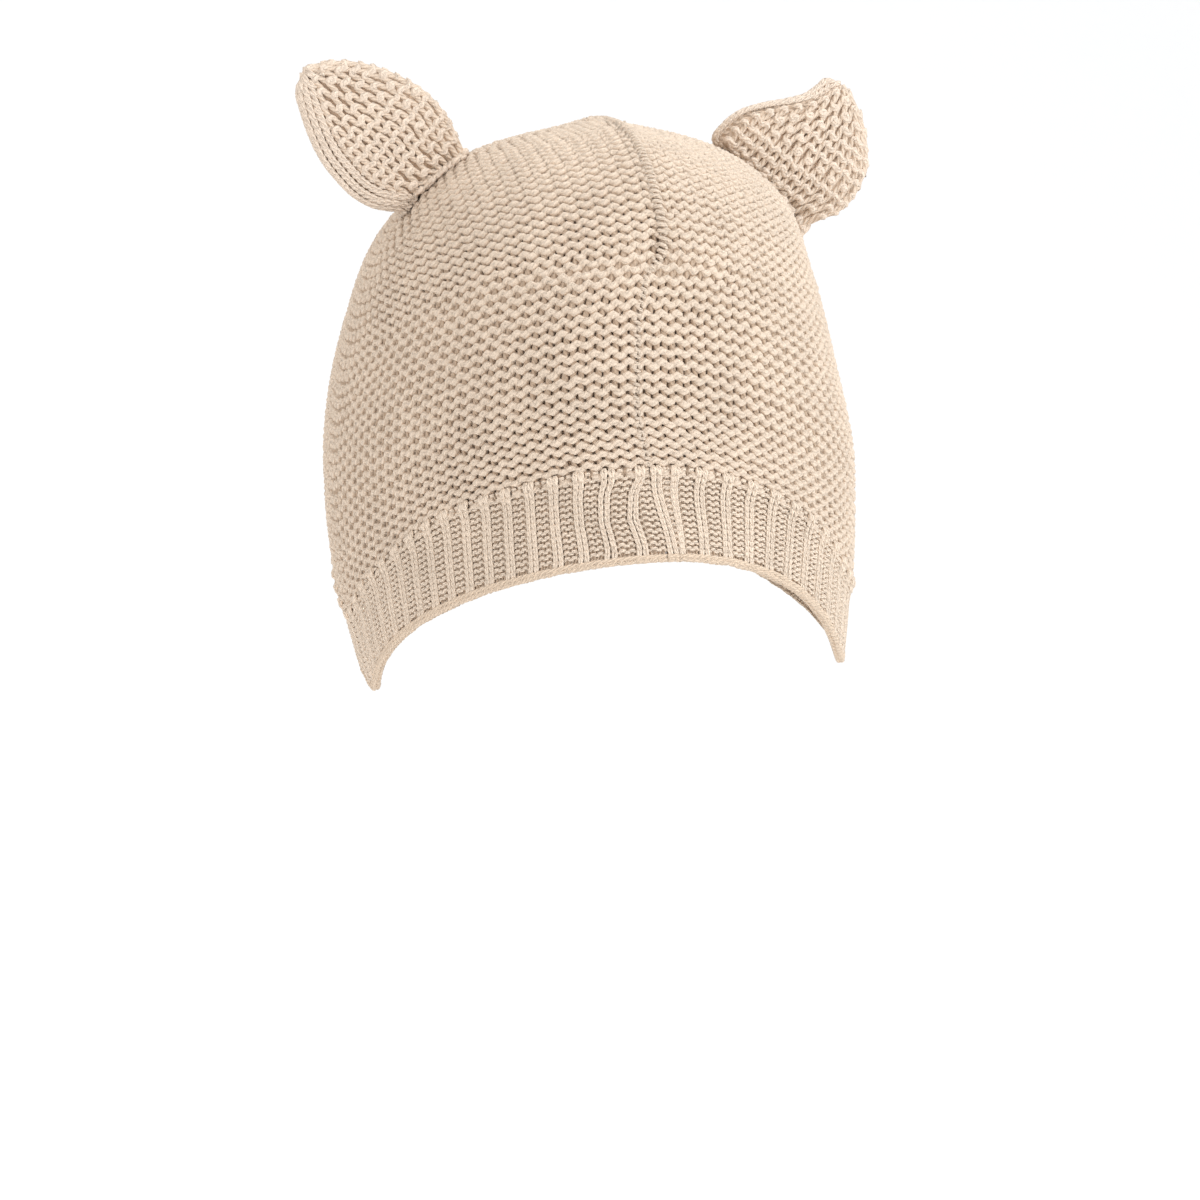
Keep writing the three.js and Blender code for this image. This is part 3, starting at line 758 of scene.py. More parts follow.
# %% The purl loop: sizes and chance
YARN_RADIUS = 1.05
YARN_SQUEEZE = 0.08
LOOP_REACH = 0.7
LOOP_SWELL = 0.11
LOOP_WAVE = 0.44
BODY_SIDES = 6
YARN_SIDES = 5
STITCH_PHASES = np.array([0.0, 0.075, 0.17, 0.33, 0.425, 0.5, 0.575, 0.67, 0.83, 0.925])
BACK_PHASES = np.array([0.0, 0.1, 0.25, 0.4, 0.5, 0.6, 0.75, 0.9])
BACK_FROM = 0.62
FIRST_ROW = 25.4
SEAM_CREASE = 0.35
CREASE_WIDTH = 0.6
CREASE_FROM, CREASE_FULL = NOTCH_HEIGHT - 8, NOTCH_HEIGHT + 2
YARN_FULL = 1.04
YARN_THINS = {1: 0.02, -1: 0.12}
THINS_FROM, THINS_TO = 6, 24
REACH_CHANCE = 0.06
DRIFT_CHANCE, DRIFT_EVERY = 0.06, 3.0
PLACE_CHANCE = 0.025
RADIUS_CHANCE = 0.05
END_GAP = 0.03
chance = np.random.default_rng(7)


# %% The purl loop: the formula
def phases_between(start, end, phases=STITCH_PHASES, later=None, switch=None):
    """Places along a row, in stitches, with the same points in every stitch and both ends exact. From the
    stitch at switch on, the later points are used."""
    switch = end if later is None else np.floor(switch)
    near = np.arange(np.floor(start), np.ceil(switch))[:, None] + phases
    far = np.arange(np.ceil(switch), np.ceil(end))[:, None] + (phases if later is None else later)
    places = np.concatenate([near.ravel(), far.ravel()])
    places = places[(places > start + END_GAP) & (places < end - END_GAP)]
    return np.concatenate([[start], places, [end]])


def slow_noise(places, spread, every=0.5):
    """Smooth chance along a row: a normal draw at every so many stitches, and straight passages between."""
    knots = np.arange(places.min() - every, places.max() + 2 * every, every)
    return np.interp(places, knots, chance.normal(0, spread, len(knots)))


def loop_path(places, reach, swell, wave):
    """The loop formula: sideways, up and out for places in stitches."""
    t = 2 * np.pi * places
    return places + swell * np.sin(2 * t), -reach * np.cos(t), wave * np.cos(2 * t)


def hidden(out, wave):
    """How deep a place on a loop lies, from 0 on the crest of its wave to 1: (wave - out) / (2 wave)."""
    return (wave - out) / (2 * wave)


# %% The purl loop: rows
def seam_crease(row, wale):
    """How far a row sinks beside the front seam above the notch, at places from the seam in stitches."""
    return SEAM_CREASE * ease(row, CREASE_FROM, CREASE_FULL) * np.exp(-((wale / CREASE_WIDTH) ** 2))


def purl_row(side, row):
    """One row of the body as a strand."""
    total = stitches_in(side, row)
    places = phases_between(0, total, later=BACK_PHASES, switch=BACK_FROM * total)
    wale, up, out = loop_path(places, LOOP_REACH * row_step(row), LOOP_SWELL, LOOP_WAVE)
    up *= 1 + slow_noise(places, REACH_CHANCE)
    up += slow_noise(places, DRIFT_CHANCE, DRIFT_EVERY)
    wale = np.clip(wale + slow_noise(places, PLACE_CHANCE), 0, total)
    radius = YARN_RADIUS * (1 + YARN_SQUEEZE * out / LOOP_WAVE) * (1 + slow_noise(places, RADIUS_CHANCE))
    thinned = YARN_FULL - YARN_THINS[side] * ease(wale, THINS_FROM, THINS_TO)
    radius *= (row_step(row) / ROW_HIGH) ** 0.5 * thinned
    depth = YARN_RADIUS * (1 + YARN_SQUEEZE) + LOOP_WAVE - out + seam_crease(row, wale)
    points, normals = in_cloth(side, row, up, wale, depth)
    return points, normals, radius, hidden(out, LOOP_WAVE)


def body_rows(side):
    """Heights of the rows, each a row step above the last, up to the ridge."""
    rows = [FIRST_ROW]
    while rows[-1] + ROW_HIGH < ROW_TOP[side]:
        rows.append(rows[-1] + float(row_step(rows[-1])))
    return rows


# %% The purl loop: pieces
body_pieces = {"left": [], "right": []}
for name, side in SIDES.items():
    for label, rows in zip(("lower", "upper"), np.array_split(body_rows(side), 2)):
        mesh = yarn_mesh("body_" + label + "_" + name, [purl_row(side, row) for row in rows], BODY_SIDES)
        body_pieces[name].append(new_piece(mesh, BODY_YARN))

# %% [markdown]
# ## The back of the cloth
#
# Between the loops one looks onto the legs and the next row behind them. Seen from inside the hat that face
# is stocking stitch. A thin closed sheet a little under the skin stands for it. It shuts out the light that
# would shine through from the far side, and it carries the V pattern of the knit side as bump on its own UV
# map, one unit for a stitch and one for a row. Its outer face, seen through the gaps, is coloured darker than
# the yarn: painted shade of the gaps. More yarn there would double the mesh for what is hardly seen.


# %% The back of the cloth: meshes
def closed_mesh(name, verts, faces, uv):
    """A smooth closed mesh from points in millimetres, with a UV map "cloth", and its faces outwards."""
    mesh = bpy.data.meshes.new(name)
    mesh.from_pydata(verts * MM, [], faces)
    mesh.polygons.foreach_set("use_smooth", np.ones(len(mesh.polygons), bool))
    layer = mesh.uv_layers.new(name="cloth")
    corners = np.empty(len(mesh.loops), int)
    mesh.loops.foreach_get("vertex_index", corners)
    layer.data.foreach_set("uv", uv[corners].ravel())
    work = bmesh.new()
    work.from_mesh(mesh)
    bmesh.ops.recalc_face_normals(work, faces=work.faces)
    work.to_mesh(mesh)
    work.free()
    mesh.update()
    return mesh


def sheet_mesh(name, outer, inner, uv):
    """A closed thin shell from two grids of points, joined round their four edges."""
    rows, columns = outer.shape[:2]
    index = np.arange(rows * columns).reshape(rows, columns)
    a, b, c, d = index[:-1, :-1], index[1:, :-1], index[1:, 1:], index[:-1, 1:]
    outside = np.stack([a, b, c, d], -1).reshape(-1, 4)
    inside = outside[:, ::-1] + rows * columns
    edge = np.concatenate([index[:, 0], index[-1, 1:], index[-2::-1, -1], index[0, -2:0:-1]])
    after = np.roll(edge, -1)
    rim = np.stack([after, edge, edge + rows * columns, after + rows * columns], -1)
    faces = np.concatenate([outside, inside, rim])
    verts = np.concatenate([outer.reshape(-1, 3), inner.reshape(-1, 3)])
    mesh = closed_mesh(name, verts, faces, np.concatenate([uv.reshape(-1, 2)] * 2))
    # the outer faces take the second material, painted shade seen through the gaps; the inner faces and the
    # rim take the first
    mesh.polygons.foreach_set("material_index", (np.arange(len(faces)) < len(outside)).astype(np.int32))
    return mesh


# %% The back of the cloth: stitches as bump
def stocking_group():
    """Height of stocking stitch on a UV map with a unit for each stitch: two legs that lean to the middle of
    it, h = (1 - |2 frac(y - lean |x|) - 1|) (1 - (2|x|) ^ 4), with x from -0.5 to 0.5 over a stitch."""
    group, given, result = new_group("stocking stitch", [("Lean", "Float", 0.8)], [("Height", "Float")])
    u, v = map_axes(group, "cloth")
    away = steps_of(group, u, ("FRACT",), ("SUBTRACT", 0.5), ("ABSOLUTE",))
    leaned = steps_of(group, away, ("MULTIPLY", given.outputs["Lean"]))
    leg = steps_of(group, v, ("SUBTRACT", leaned), ("FRACT",))
    valley = steps_of(group, leg, ("MULTIPLY", 2.0), ("SUBTRACT", 1.0), ("ABSOLUTE",))
    edge = steps_of(group, away, ("MULTIPLY", 2.0), ("POWER", 4.0))
    ridge = steps_of(group, 1.0, ("SUBTRACT", valley))
    height = steps_of(group, 1.0, ("SUBTRACT", edge), ("MULTIPLY", ridge))
    group.links.new(height, result.inputs["Height"])
    return group


BACK_BUMP = 0.0008
STOCKING = stocking_group()


def back_material(name, color):
    """The back of the cloth: the cotton's colour, and stocking stitch as bump."""
    material, _, bump = cotton_material(name, color, {"Roughness": 1.0}, BACK_BUMP)
    stitch = add_node(material.node_tree, "Group", {"node_tree": STOCKING})
    material.node_tree.links.new(stitch.outputs["Height"], bump.inputs["Height"])
    return material


CLOTH_BACK = back_material("back of the cloth", (0.6, 0.48, 0.37))
# painted shade: the colour of the body sheet's outer face, seen through the gaps between the loops
CLOTH_PAINTED_SHADE = back_material("painted shade in the hollows of the cloth", (0.5, 0.34, 0.22))
# partly the legs behind the loops, and partly painted shade: the band sheet's outer face and the ears' cores,
# darker than their yarn
CLOTH_INSIDE_SHADE = back_material("painted shade inside ribs and ears", (0.62, 0.47, 0.35))
# %% The back of the cloth: sheets
BACK_OUTER, BACK_INNER = 2.1, 2.8
BACK_WALES, BACK_ROWS = 61, 41
OVER_BAND = 0.6


def body_back(side):
    """Two grids under the skin of one half, from the band to the ridge, and their UV in stitches and rows."""
    turn = np.linspace(0, np.pi, BACK_WALES)[:, None]
    low = band_height(side, turn) + OVER_BAND
    height = low + (np.interp(turn, TURNS, WALE_LENGTHS[side]) - low) * np.linspace(0, 1, BACK_ROWS)
    turn = np.broadcast_to(turn, height.shape)
    outer, inner = (on_form(side, turn, height, depth)[0] for depth in (BACK_OUTER, BACK_INNER))
    uv = np.stack([turn * (WALES_FRONT[side] + WALES_BACK[side]) / np.pi, height / ROW_HIGH], -1)
    return outer, inner, uv


def grid_area(grid):
    """Area of a grid of points: half the cross product of each face's diagonals, summed."""
    one, other = grid[1:, 1:] - grid[:-1, :-1], grid[1:, :-1] - grid[:-1, 1:]
    return np.linalg.norm(np.cross(one, other), axis=-1).sum() / 2


def flat_size(grid):
    """Size that a grid of cloth was knitted to: its longest row and longest wale, and its area, in metres."""
    width = lengths_along(grid)[-1].max() * MM
    length = lengths_along(grid, axis=1)[:, -1].max() * MM
    return (float(width), float(length)), float(grid_area(grid)) * MM**2


def lay_cloth(name, grids, inside, rows):
    """Makes a sheet from two grids and their UV, and notes its flat size and the pieces that lie on it."""
    outer, inner, uv = grids
    piece = new_piece(sheet_mesh(name, outer, inner, uv), CLOTH_BACK, inside)
    cloths[piece] = flat_size((outer + inner) / 2), rows
    print(name, "was knitted to", np.round(cloths[piece][0][0], 3), "m")


cloths = {}
for name, side in SIDES.items():
    lay_cloth("body_back_" + name, body_back(side), CLOTH_PAINTED_SHADE, body_pieces[name])

# %% [markdown]
# ## The ribbed band
#
# Two wales knitted, two wales purled. A knitted wale is the same loop turned inside out: its legs come
# forward, close together, and lie one over another as a smooth cord, with a fine dark line to the next cord.
# So one formula makes the whole band, with a sign that swings from knit to purl and back as the row crosses
# the wales. The ribs are spaced evenly by the distance from wale to wale, since every rib has as many
# stitches. The edge is cast on so that it is knitted on both faces: the last rows run round it as a roll.

# %% The ribbed band: sizes
RIBS_PER_HALF = 36
RIB_STITCHES = 4
RIB_START = {1: 0.0, -1: 0.5}
RIB_EDGES = [0.03, 0.24, 0.452, 0.741, 1.03]
EVEN_EDGES = [0.03, 0.28, 0.53, 0.78, 1.03]
COURSE_STEP = 1.6
RIB_RADIUS = 0.45
RIB_REACH = 0.75
RIB_SWELL = 0.1
RIB_SPLAY = 0.05
RIB_PINCH = 0.06
RIB_WAVE = 0.46
RIB_TROUGH = 0.15
RIB_TURN = 2.6
RIB_SPREAD, RIB_SQUEEZE = 0.06, 0.22
RIB_CHANCE = 0.04
RIB_SHADE = 0.6
RIB_OPENS = {"from": 4, "to": 1, "swell": 0.08, "radius": 0.3, "rise": 0.5, "out": 0.55}
RIB_BACK_FROM = 0.55
RIB_PHASES = np.array([0.06, 0.19, 0.31, 0.44, 0.56, 0.69, 0.81, 0.94])
RIB_BACK_PHASES = np.array([0.08, 0.25, 0.42, 0.58, 0.75, 0.92])
BAND_INSET = 0.7
EDGE_RADIUS = 1.9
EDGE_YARN = 0.68
# painted shade: a fixed darkening of the rolled edge's colour, for the shade under it
EDGE_SHADE = 0.8
EDGE_RISE, RISE_CHANCE = 0.1, 0.07
EDGE_DIP, DIP_CHANCE = 0.08, 0.06
EDGE_PHASES = np.array([0.0, 0.33, 0.67])
EDGE_TURN = 1.25
LEAF = {0: 0.15, 5: 0.15, 12: 0.25, 19: -0.1, 22: -0.4, 25: -0.45}
LEAF_SPREAD = 1.5
LEAF_RIB = 0.74
RIB_LEAN = {1: {0: -0.8, 25: -0.35}, -1: {0: 0.28, 25: 0.15}}
LEAN_FROM = {1: 0.3, -1: 0.9}
LEAN_RISE = 1.2
LEAN_FADE, LEAN_GONE = 4, 12
EVEN_UNTIL, NARROW_FROM = 1.5, 5
INSET_FADE = 7


# %% The ribbed band: its form
def band_widths(side):
    """Distance from the front seam to each turn, square to the wales, as a share of the whole half."""
    middle = BAND_HEIGHT / 2
    levels = [look_up(FORMS[side], ALL_TURNS, np.full(TURN_COUNT, middle + rise)) for rise in (-1, 0, 1)]
    up = unit(levels[2] - levels[0])
    step = np.linalg.norm(np.cross(np.diff(levels[1], axis=0), up[1:]), axis=-1)
    width = np.insert(np.cumsum(step), 0, 0)
    return width / width[-1]


def read_off(table, at):
    """Values of a table of places and values, with straight passages between them."""
    return np.interp(at, list(table), list(table.values()))


BAND_WIDTHS = {side: band_widths(side) for side in SIDES.values()}


def in_band(side, wale, up, sink):
    """Points and normals in the band. up is the height above the edge in front, and shrinks with the band on
    the flap; below EDGE_TURN it runs on round the edge, as an angle (EDGE_TURN - up) / (EDGE_RADIUS - sink).
    sink is how deep the point lies, which fades away where the band meets the body."""
    even = 1 - ease(up, EVEN_UNTIL, NARROW_FROM)
    within, stitches = wale % RIB_STITCHES, range(RIB_STITCHES + 1)
    narrow, wide = np.interp(within, stitches, RIB_EDGES), np.interp(within, stitches, EVEN_EDGES)
    ribs = narrow * (1 - even) + wide * even + np.floor(wale / RIB_STITCHES)
    start = RIB_START[side]
    if side < 0:
        leaf = read_off(LEAF, up) * np.exp(-np.abs(ribs - start - LEAF_RIB) / LEAF_SPREAD)
        ribs += leaf * ease(ribs, start, start + LEAF_RIB)
    first = start + LEAN_FROM[side]
    lean = read_off(RIB_LEAN[side], up) * ease(ribs, first, first + LEAN_RISE)
    ribs += lean * (1 - ease(ribs, start + LEAN_FADE, start + LEAN_GONE))
    place = np.clip((ribs - start) / RIBS_PER_HALF, 0, 1)
    turn = np.interp(place, BAND_WIDTHS[side], TURNS)
    shrink = (band_height(side, turn) - EDGE_TURN) / (BAND_HEIGHT - EDGE_TURN)
    height = EDGE_TURN + np.maximum(up - EDGE_TURN, 0) * shrink
    skin, normal = on_form(side, turn, height, 0)
    above, below = (on_form(side, turn, height + rise, 0)[0] for rise in (0.5, -0.5))
    climb = unit(above - below)
    sink = sink - BAND_INSET * ease(up, BAND_HEIGHT - INSET_FADE, BAND_HEIGHT)
    radius = (EDGE_RADIUS - sink)[..., None]
    angle = np.maximum(0, EDGE_TURN - up)[..., None] / np.maximum(radius, 0.5)
    outward = normal * np.cos(angle) - climb * np.sin(angle)
    return skin - EDGE_RADIUS * normal + radius * outward, outward


# %% The ribbed band: rows
def rib_ends(side):
    """The first and the last place along the band, in stitches."""
    return RIB_STITCHES * RIB_START[side], RIB_STITCHES * (RIB_START[side] + RIBS_PER_HALF)


def edge_row(side, up):
    """One strand of the rolled edge: it runs along the edge, and waves a little out of it. Its colour gets a
    fixed painted shade.
    """
    places = phases_between(*rib_ends(side), EDGE_PHASES)
    rise = EDGE_RISE * np.sin(2 * np.pi * places) + slow_noise(places, RISE_CHANCE, 1.0)
    dip = EDGE_DIP * np.cos(4 * np.pi * places)
    sink = BAND_INSET + EDGE_YARN + dip + slow_noise(places, DIP_CHANCE, 1.5)
    points, normals = in_band(side, places, up + rise, sink)
    radius = EDGE_YARN * (1 + slow_noise(places, RADIUS_CHANCE, 0.7))
    return points, normals, radius, np.full(len(places), EDGE_SHADE)


def rib_row(side, up):
    """One row of the band as a strand: purl where the sign is 1, and knit where it is -1. Knitted legs are
    pinched to the middle of their wale by pinch sin t, and splayed into a V by a wider swell. Just under the
    body they open out."""
    start, end = rib_ends(side)
    places = phases_between(start, end, RIB_PHASES, RIB_BACK_PHASES, start + RIB_BACK_FROM * (end - start))
    sign = -np.clip(RIB_TURN * np.sin(np.pi * places / 2), -1, 1)
    purl = (1 + sign) / 2
    opened = ease(up, BAND_HEIGHT - RIB_OPENS["from"], BAND_HEIGHT - RIB_OPENS["to"]) * (1 - purl)
    swell = RIB_SWELL + RIB_SPLAY * (1 - purl) + RIB_OPENS["swell"] * opened
    wale, rise, out = loop_path(places, RIB_REACH * COURSE_STEP, swell, RIB_WAVE)
    wale += RIB_PINCH * (1 - purl) * np.sin(2 * np.pi * places)
    out *= sign
    rise *= 1 + slow_noise(places, RIB_CHANCE)
    radius = RIB_RADIUS * (1 + purl * (RIB_SPREAD + RIB_SQUEEZE * out / RIB_WAVE))
    radius *= 1 + slow_noise(places, RIB_CHANCE)
    radius *= 1 + RIB_OPENS["radius"] * opened
    sink = BAND_INSET + RIB_TROUGH * purl + RIB_RADIUS + RIB_WAVE - out - RIB_OPENS["out"] * opened
    points, normals = in_band(side, wale, up + rise + RIB_OPENS["rise"] * opened, sink)
    return points, normals, radius, hidden(out, RIB_WAVE) * (RIB_SHADE + (1 - RIB_SHADE) * purl)


# %% The ribbed band: pieces
RIB_ROWS = 3.1 + COURSE_STEP * np.arange(14)
EDGE_ROWS = EDGE_TURN + np.array([0.75, -0.25, -1.25, -2.25, -3.25])
band_pieces = {}
for name, side in SIDES.items():
    rows = [edge_row(side, up) for up in EDGE_ROWS] + [rib_row(side, up) for up in RIB_ROWS]
    band_pieces[name] = [new_piece(yarn_mesh("band_rows_" + name, rows, YARN_SIDES), RIB_YARN)]


# %% The ribbed band: its back
BACK_UP = np.linspace(EDGE_TURN - 1.0, BAND_HEIGHT + OVER_BAND, 12)
BACK_SINK = BAND_INSET + 1.2, BAND_INSET + 1.85
BACK_LOWEST = 1.2
WALES_A_RIB = 6


def band_back(side):
    """Two grids under the band's rows, and their UV in stitches and rows."""
    wale = np.linspace(*rib_ends(side), WALES_A_RIB * RIBS_PER_HALF + 1)[:, None]
    wale, up = np.broadcast_arrays(wale, BACK_UP)
    outer, _ = in_band(side, wale, up, np.full(up.shape, BACK_SINK[0]))
    inner, _ = in_band(side, wale, np.maximum(up, BACK_LOWEST), np.full(up.shape, BACK_SINK[1]))
    return outer, inner, np.stack([wale, up / COURSE_STEP], -1)


# the band's sheet shows painted shade on its outer face, between the ribs
for name, side in SIDES.items():
    lay_cloth("band_back_" + name, band_back(side), CLOTH_INSIDE_SHADE, band_pieces[name])

# %% [markdown]
# ## The seam
#
# One seam joins the two halves from the band over the crown to the nape. It is sewn with the same yarn in
# small slanting stitches that go round both edges. A helix is just that: on its outer side it shows as a row
# of slanting stitches, and its inner side is hidden between the edges. It is carried along the edge of the
# cloth, which is known: the front wale, the ridge line and the nape wale.

# %% The seam: sizes
SEAM_PITCH = 1.75
SEAM_POINTS = 9
SEAM_GRID = 0.5
SEAM_SOFT = 15
SEAM_ASIDE = 0.9
SEAM_DIP, DIP_FROM, DIP_FULL = 0.4, 0.5, 0.95
SEAM_RISES, SEAM_HIGH = NOTCH_HEIGHT - 6, NOTCH_HEIGHT + 3
SEAM_FALLS, SEAM_LOW = 50, 30
SEAM_CHANCE, CORD_CHANCE = 0.12, 0.06
# each size: what it is along the band and the lower brow, and what is added from the notch over the ridge
SEAM_SIZES = {"wide": (0.6, 0.25), "deep": (0.5, 0.05), "sink": (1.1, -0.45), "radius": (0.52, 0.08)}


# %% The seam: its line
def seam_line():
    """Points and normals along both halves' common edge, at every half millimetre, and smoothed."""
    tops = [look_up(FORMS[side], ALL_TURNS, WALE_LENGTHS[side]) for side in (1, -1)]
    ridge, upwards = (tops[0] + tops[1]) / 2, np.tile(UPWARDS, (TURN_COUNT, 1))
    front, nape = (slice(0, int(WALE_LENGTHS[1][k])) for k in (0, -1))
    line = np.concatenate([FORMS[1][0, front], ridge, FORMS[1][-1, nape][::-1]])
    normals = np.concatenate([FORM_NORMALS[1][0, front], upwards, FORM_NORMALS[1][-1, nape][::-1]])
    run = lengths_along(line)
    bell = np.hanning(SEAM_SOFT) / np.hanning(SEAM_SOFT).sum()
    smooth = []
    for table in (line, normals):
        table = between(np.arange(0, run[-1], SEAM_GRID), run, table)
        table = np.pad(table, ((SEAM_SOFT // 2, SEAM_SOFT // 2), (0, 0)), mode="edge")
        smooth.append(np.stack([np.convolve(column, bell, "valid") for column in table.T], -1))
    line, normals = smooth
    normals[:, 0] = 0
    return line, unit(normals)


def along_line(line, normals, run):
    """Points, normals and sideways directions at running lengths along the seam's line."""
    at = np.arange(len(line)) * SEAM_GRID
    point, normal, ahead = (between(run, at, table) for table in (line, normals, np.gradient(line, axis=0)))
    return point, normal, unit(np.cross(ahead, normal))


# %% The seam: its stitches
def overcast(line, normals, start, end):
    """A helix round a line: p + (shift + a cos q) sideways + (b sin q - sink) normal, q = 2 pi run / pitch.
    It is wide and set to one side from the notch over the ridge, and small elsewhere. The normals point away
    from the line, and the depth, which sets the painted shade, is that of the hidden half."""
    run = np.arange(start, end, SEAM_PITCH / SEAM_POINTS)
    turn = 2 * np.pi * run / SEAM_PITCH
    point, normal, sideways = along_line(line, normals, run)
    high = ease(run, SEAM_RISES, SEAM_HIGH) * (1 - ease(run, end - SEAM_FALLS, end - SEAM_LOW))
    wide, deep, sink, radius = (low + more * high for low, more in SEAM_SIZES.values())
    wide *= 1 + slow_noise(run, SEAM_CHANCE, SEAM_PITCH)
    sink += SEAM_DIP * ease(normal[:, 2], DIP_FROM, DIP_FULL)
    across, out = SEAM_ASIDE * high + wide * np.cos(turn), deep * np.sin(turn)
    points = point + across[:, None] * sideways + (out - sink)[:, None] * normal
    away = np.cos(turn)[:, None] * sideways + np.sin(turn)[:, None] * normal
    radius *= 1 + slow_noise(run, CORD_CHANCE, SEAM_PITCH)
    return points, away, radius, np.clip(0.1 - out / (2 * deep), 0, 1)


seam, seam_normals = seam_line()
seam_length = (len(seam) - 1) * SEAM_GRID
stitches = overcast(seam, seam_normals, BAND_HEIGHT + 0.5, seam_length - BAND_HEIGHT - 0.5)
seam_piece = new_piece(yarn_mesh("seam_stitches", [stitches], YARN_SIDES), BODY_YARN)
print("the seam is", round(seam_length), "mm long")

# %% [markdown]
# ## The ears
#
# Each ear is a leaf of garter stitch folded double: ridges of loops lie across it on both faces, and along
# one edge a few wales of stocking stitch run from the base to the tip. On the wearer's left ear that edge is
# the upper one, and it rolls forward over a groove. The leaf's form is a table of sections across its axis,
# with soft passages from each to the next, and it may differ from the solid's by two millimetres. The rows
# are rings round the leaf, so that they also show on its edges.

# %% The ears: sizes
EAR_SQUARENESS = 0.7
EAR_SEAT = 0.4
BASE_BLEND = 0.12
LEAST_HALF = 0.2
# each section: share of the axis, width below it, width above it, thickness, bow to the front, cup
EARS = {
    "ear_right": {
        "side": -1,
        "base": (34.5, 52.5),
        "tip": (-79, -9, 17.5),
        "sections": [
            (0.0, 9.2, 13.0, 5.6, 0, 0),
            (0.08, 12.0, 14.2, 6.4, 1, 0.5),
            (0.18, 15.0, 16.0, 6.8, 2, 1),
            (0.32, 16.8, 17.2, 6.8, 2.6, 1.5),
            (0.46, 16.5, 17.1, 6.6, 2.6, 1.5),
            (0.6, 15.2, 15.6, 6.4, 2, 1.2),
            (0.74, 12.3, 13.0, 6.2, 1.2, 0.8),
            (0.87, 8.6, 9.0, 5.8, 0.4, 0.4),
            (0.96, 5.0, 4.6, 4.6, 0, 0),
            (1.0, 1.4, 1.4, 2.4, 0, 0),
        ],
        "start": np.pi + 0.35,
        "way": -1,
        "columns": 4,
        "groove": 0.2,
        "first": 0.5,
    },
    "ear_left": {
        "side": 1,
        "base": (34.5, 57.5),
        "tip": (70, -8, 10.5),
        "sections": [
            (0.0, 11.6, 18.4, 5.6, 0, 0),
            (0.1, 15.6, 21.6, 6.4, 1.5, 1),
            (0.24, 19.0, 22.2, 6.8, 2.6, 2),
            (0.38, 19.8, 20.8, 6.8, 3, 3),
            (0.52, 19.1, 17.0, 6.8, 2.8, 3.4),
            (0.66, 17.3, 12.0, 6.8, 2, 3.2),
            (0.78, 13.9, 8.4, 6.6, 0.6, 2.2),
            (0.88, 10.4, 6.8, 6.2, -1, 1.2),
            (0.96, 5.8, 5.4, 5, -2, 0.5),
            (1.0, 2.0, 2.4, 2.6, -2.4, 0),
        ],
        "start": -0.5,
        "way": 1,
        "columns": 3,
        "groove": 1.3,
        "first": 1.1,
    },
}
EAR_BASE_Y = -7.0
EAR_ROUND = 241
EAR_CLEAR = 1.0
HALVINGS = 24


# %% The ears: where they stand
def crown_height(x, y):
    """Height of the smooth crown over places of the ground plan. The reach of the ellipse through a place and
    the depth at which the dome has that reach are both found by halving."""
    x, y = np.abs(np.asarray(x, float)), np.asarray(y, float)
    ridge = np.where(y < 0, RIDGE_FRONT, RIDGE_BACK)
    span = np.where(y < 0, FRONT_DEPTH, BACK_DEPTH) - ridge
    low, high = np.full(x.shape, 1e-3), np.ones(x.shape)
    for _ in range(HALVINGS):
        reach = (low + high) / 2
        outside = (x / (HALF_WIDTH * reach)) ** 2 + (y / (ridge + span * reach)) ** 2 > 1
        low, high = np.where(outside, reach, low), np.where(outside, high, reach)
    turn = np.arctan2(x / (HALF_WIDTH * high), -y / (ridge + span * high))
    top, bottom = np.zeros(x.shape), -profile_at(turn, "widest")
    for _ in range(HALVINGS):
        depth = (top + bottom) / 2
        within = dome_reach(turn, depth) < high
        top, bottom = np.where(within, depth, top), np.where(within, bottom, depth)
    return place_on_form(turn, high, top)[..., 2]


def ear_axis(ear):
    """The ear's two base corners on the crown, its foot between them, its axis to the tip, and the direction
    across the leaf to its upper edge."""
    side = ear["side"]
    corners = [np.array([side * x, EAR_BASE_Y, crown_height(side * x, EAR_BASE_Y)]) for x in ear["base"]]
    foot = (corners[0] + corners[1]) / 2
    axis = np.array(ear["tip"]) - foot
    across = np.cross([0, -1, 0], axis) * side
    across /= np.linalg.norm(across)
    return corners, foot, axis, across if across[2] > 0 else -across


# %% The ears: form
def smooth_table(table, at):
    """Columns of a table at places between its rows: each passage is a cubic with the slopes
    (next - last) / (distance between them) at its ends."""
    table = np.array(table, float)
    slopes = np.gradient(table[:, 1:], table[:, 0], axis=0)
    i = np.clip(np.searchsorted(table[:, 0], at, side="right") - 1, 0, len(table) - 2)
    span = table[i + 1, 0] - table[i, 0]
    t = np.clip((at - table[i, 0]) / span, 0, 1)[..., None]
    low, high = table[i, 1:], table[i + 1, 1:]
    rise, fall = slopes[i] * span[..., None], slopes[i + 1] * span[..., None]
    ends = low * (1 + 2 * t) * (1 - t) ** 2 + high * t * t * (3 - 2 * t)
    return ends + rise * t * (1 - t) ** 2 - fall * t * t * (1 - t)


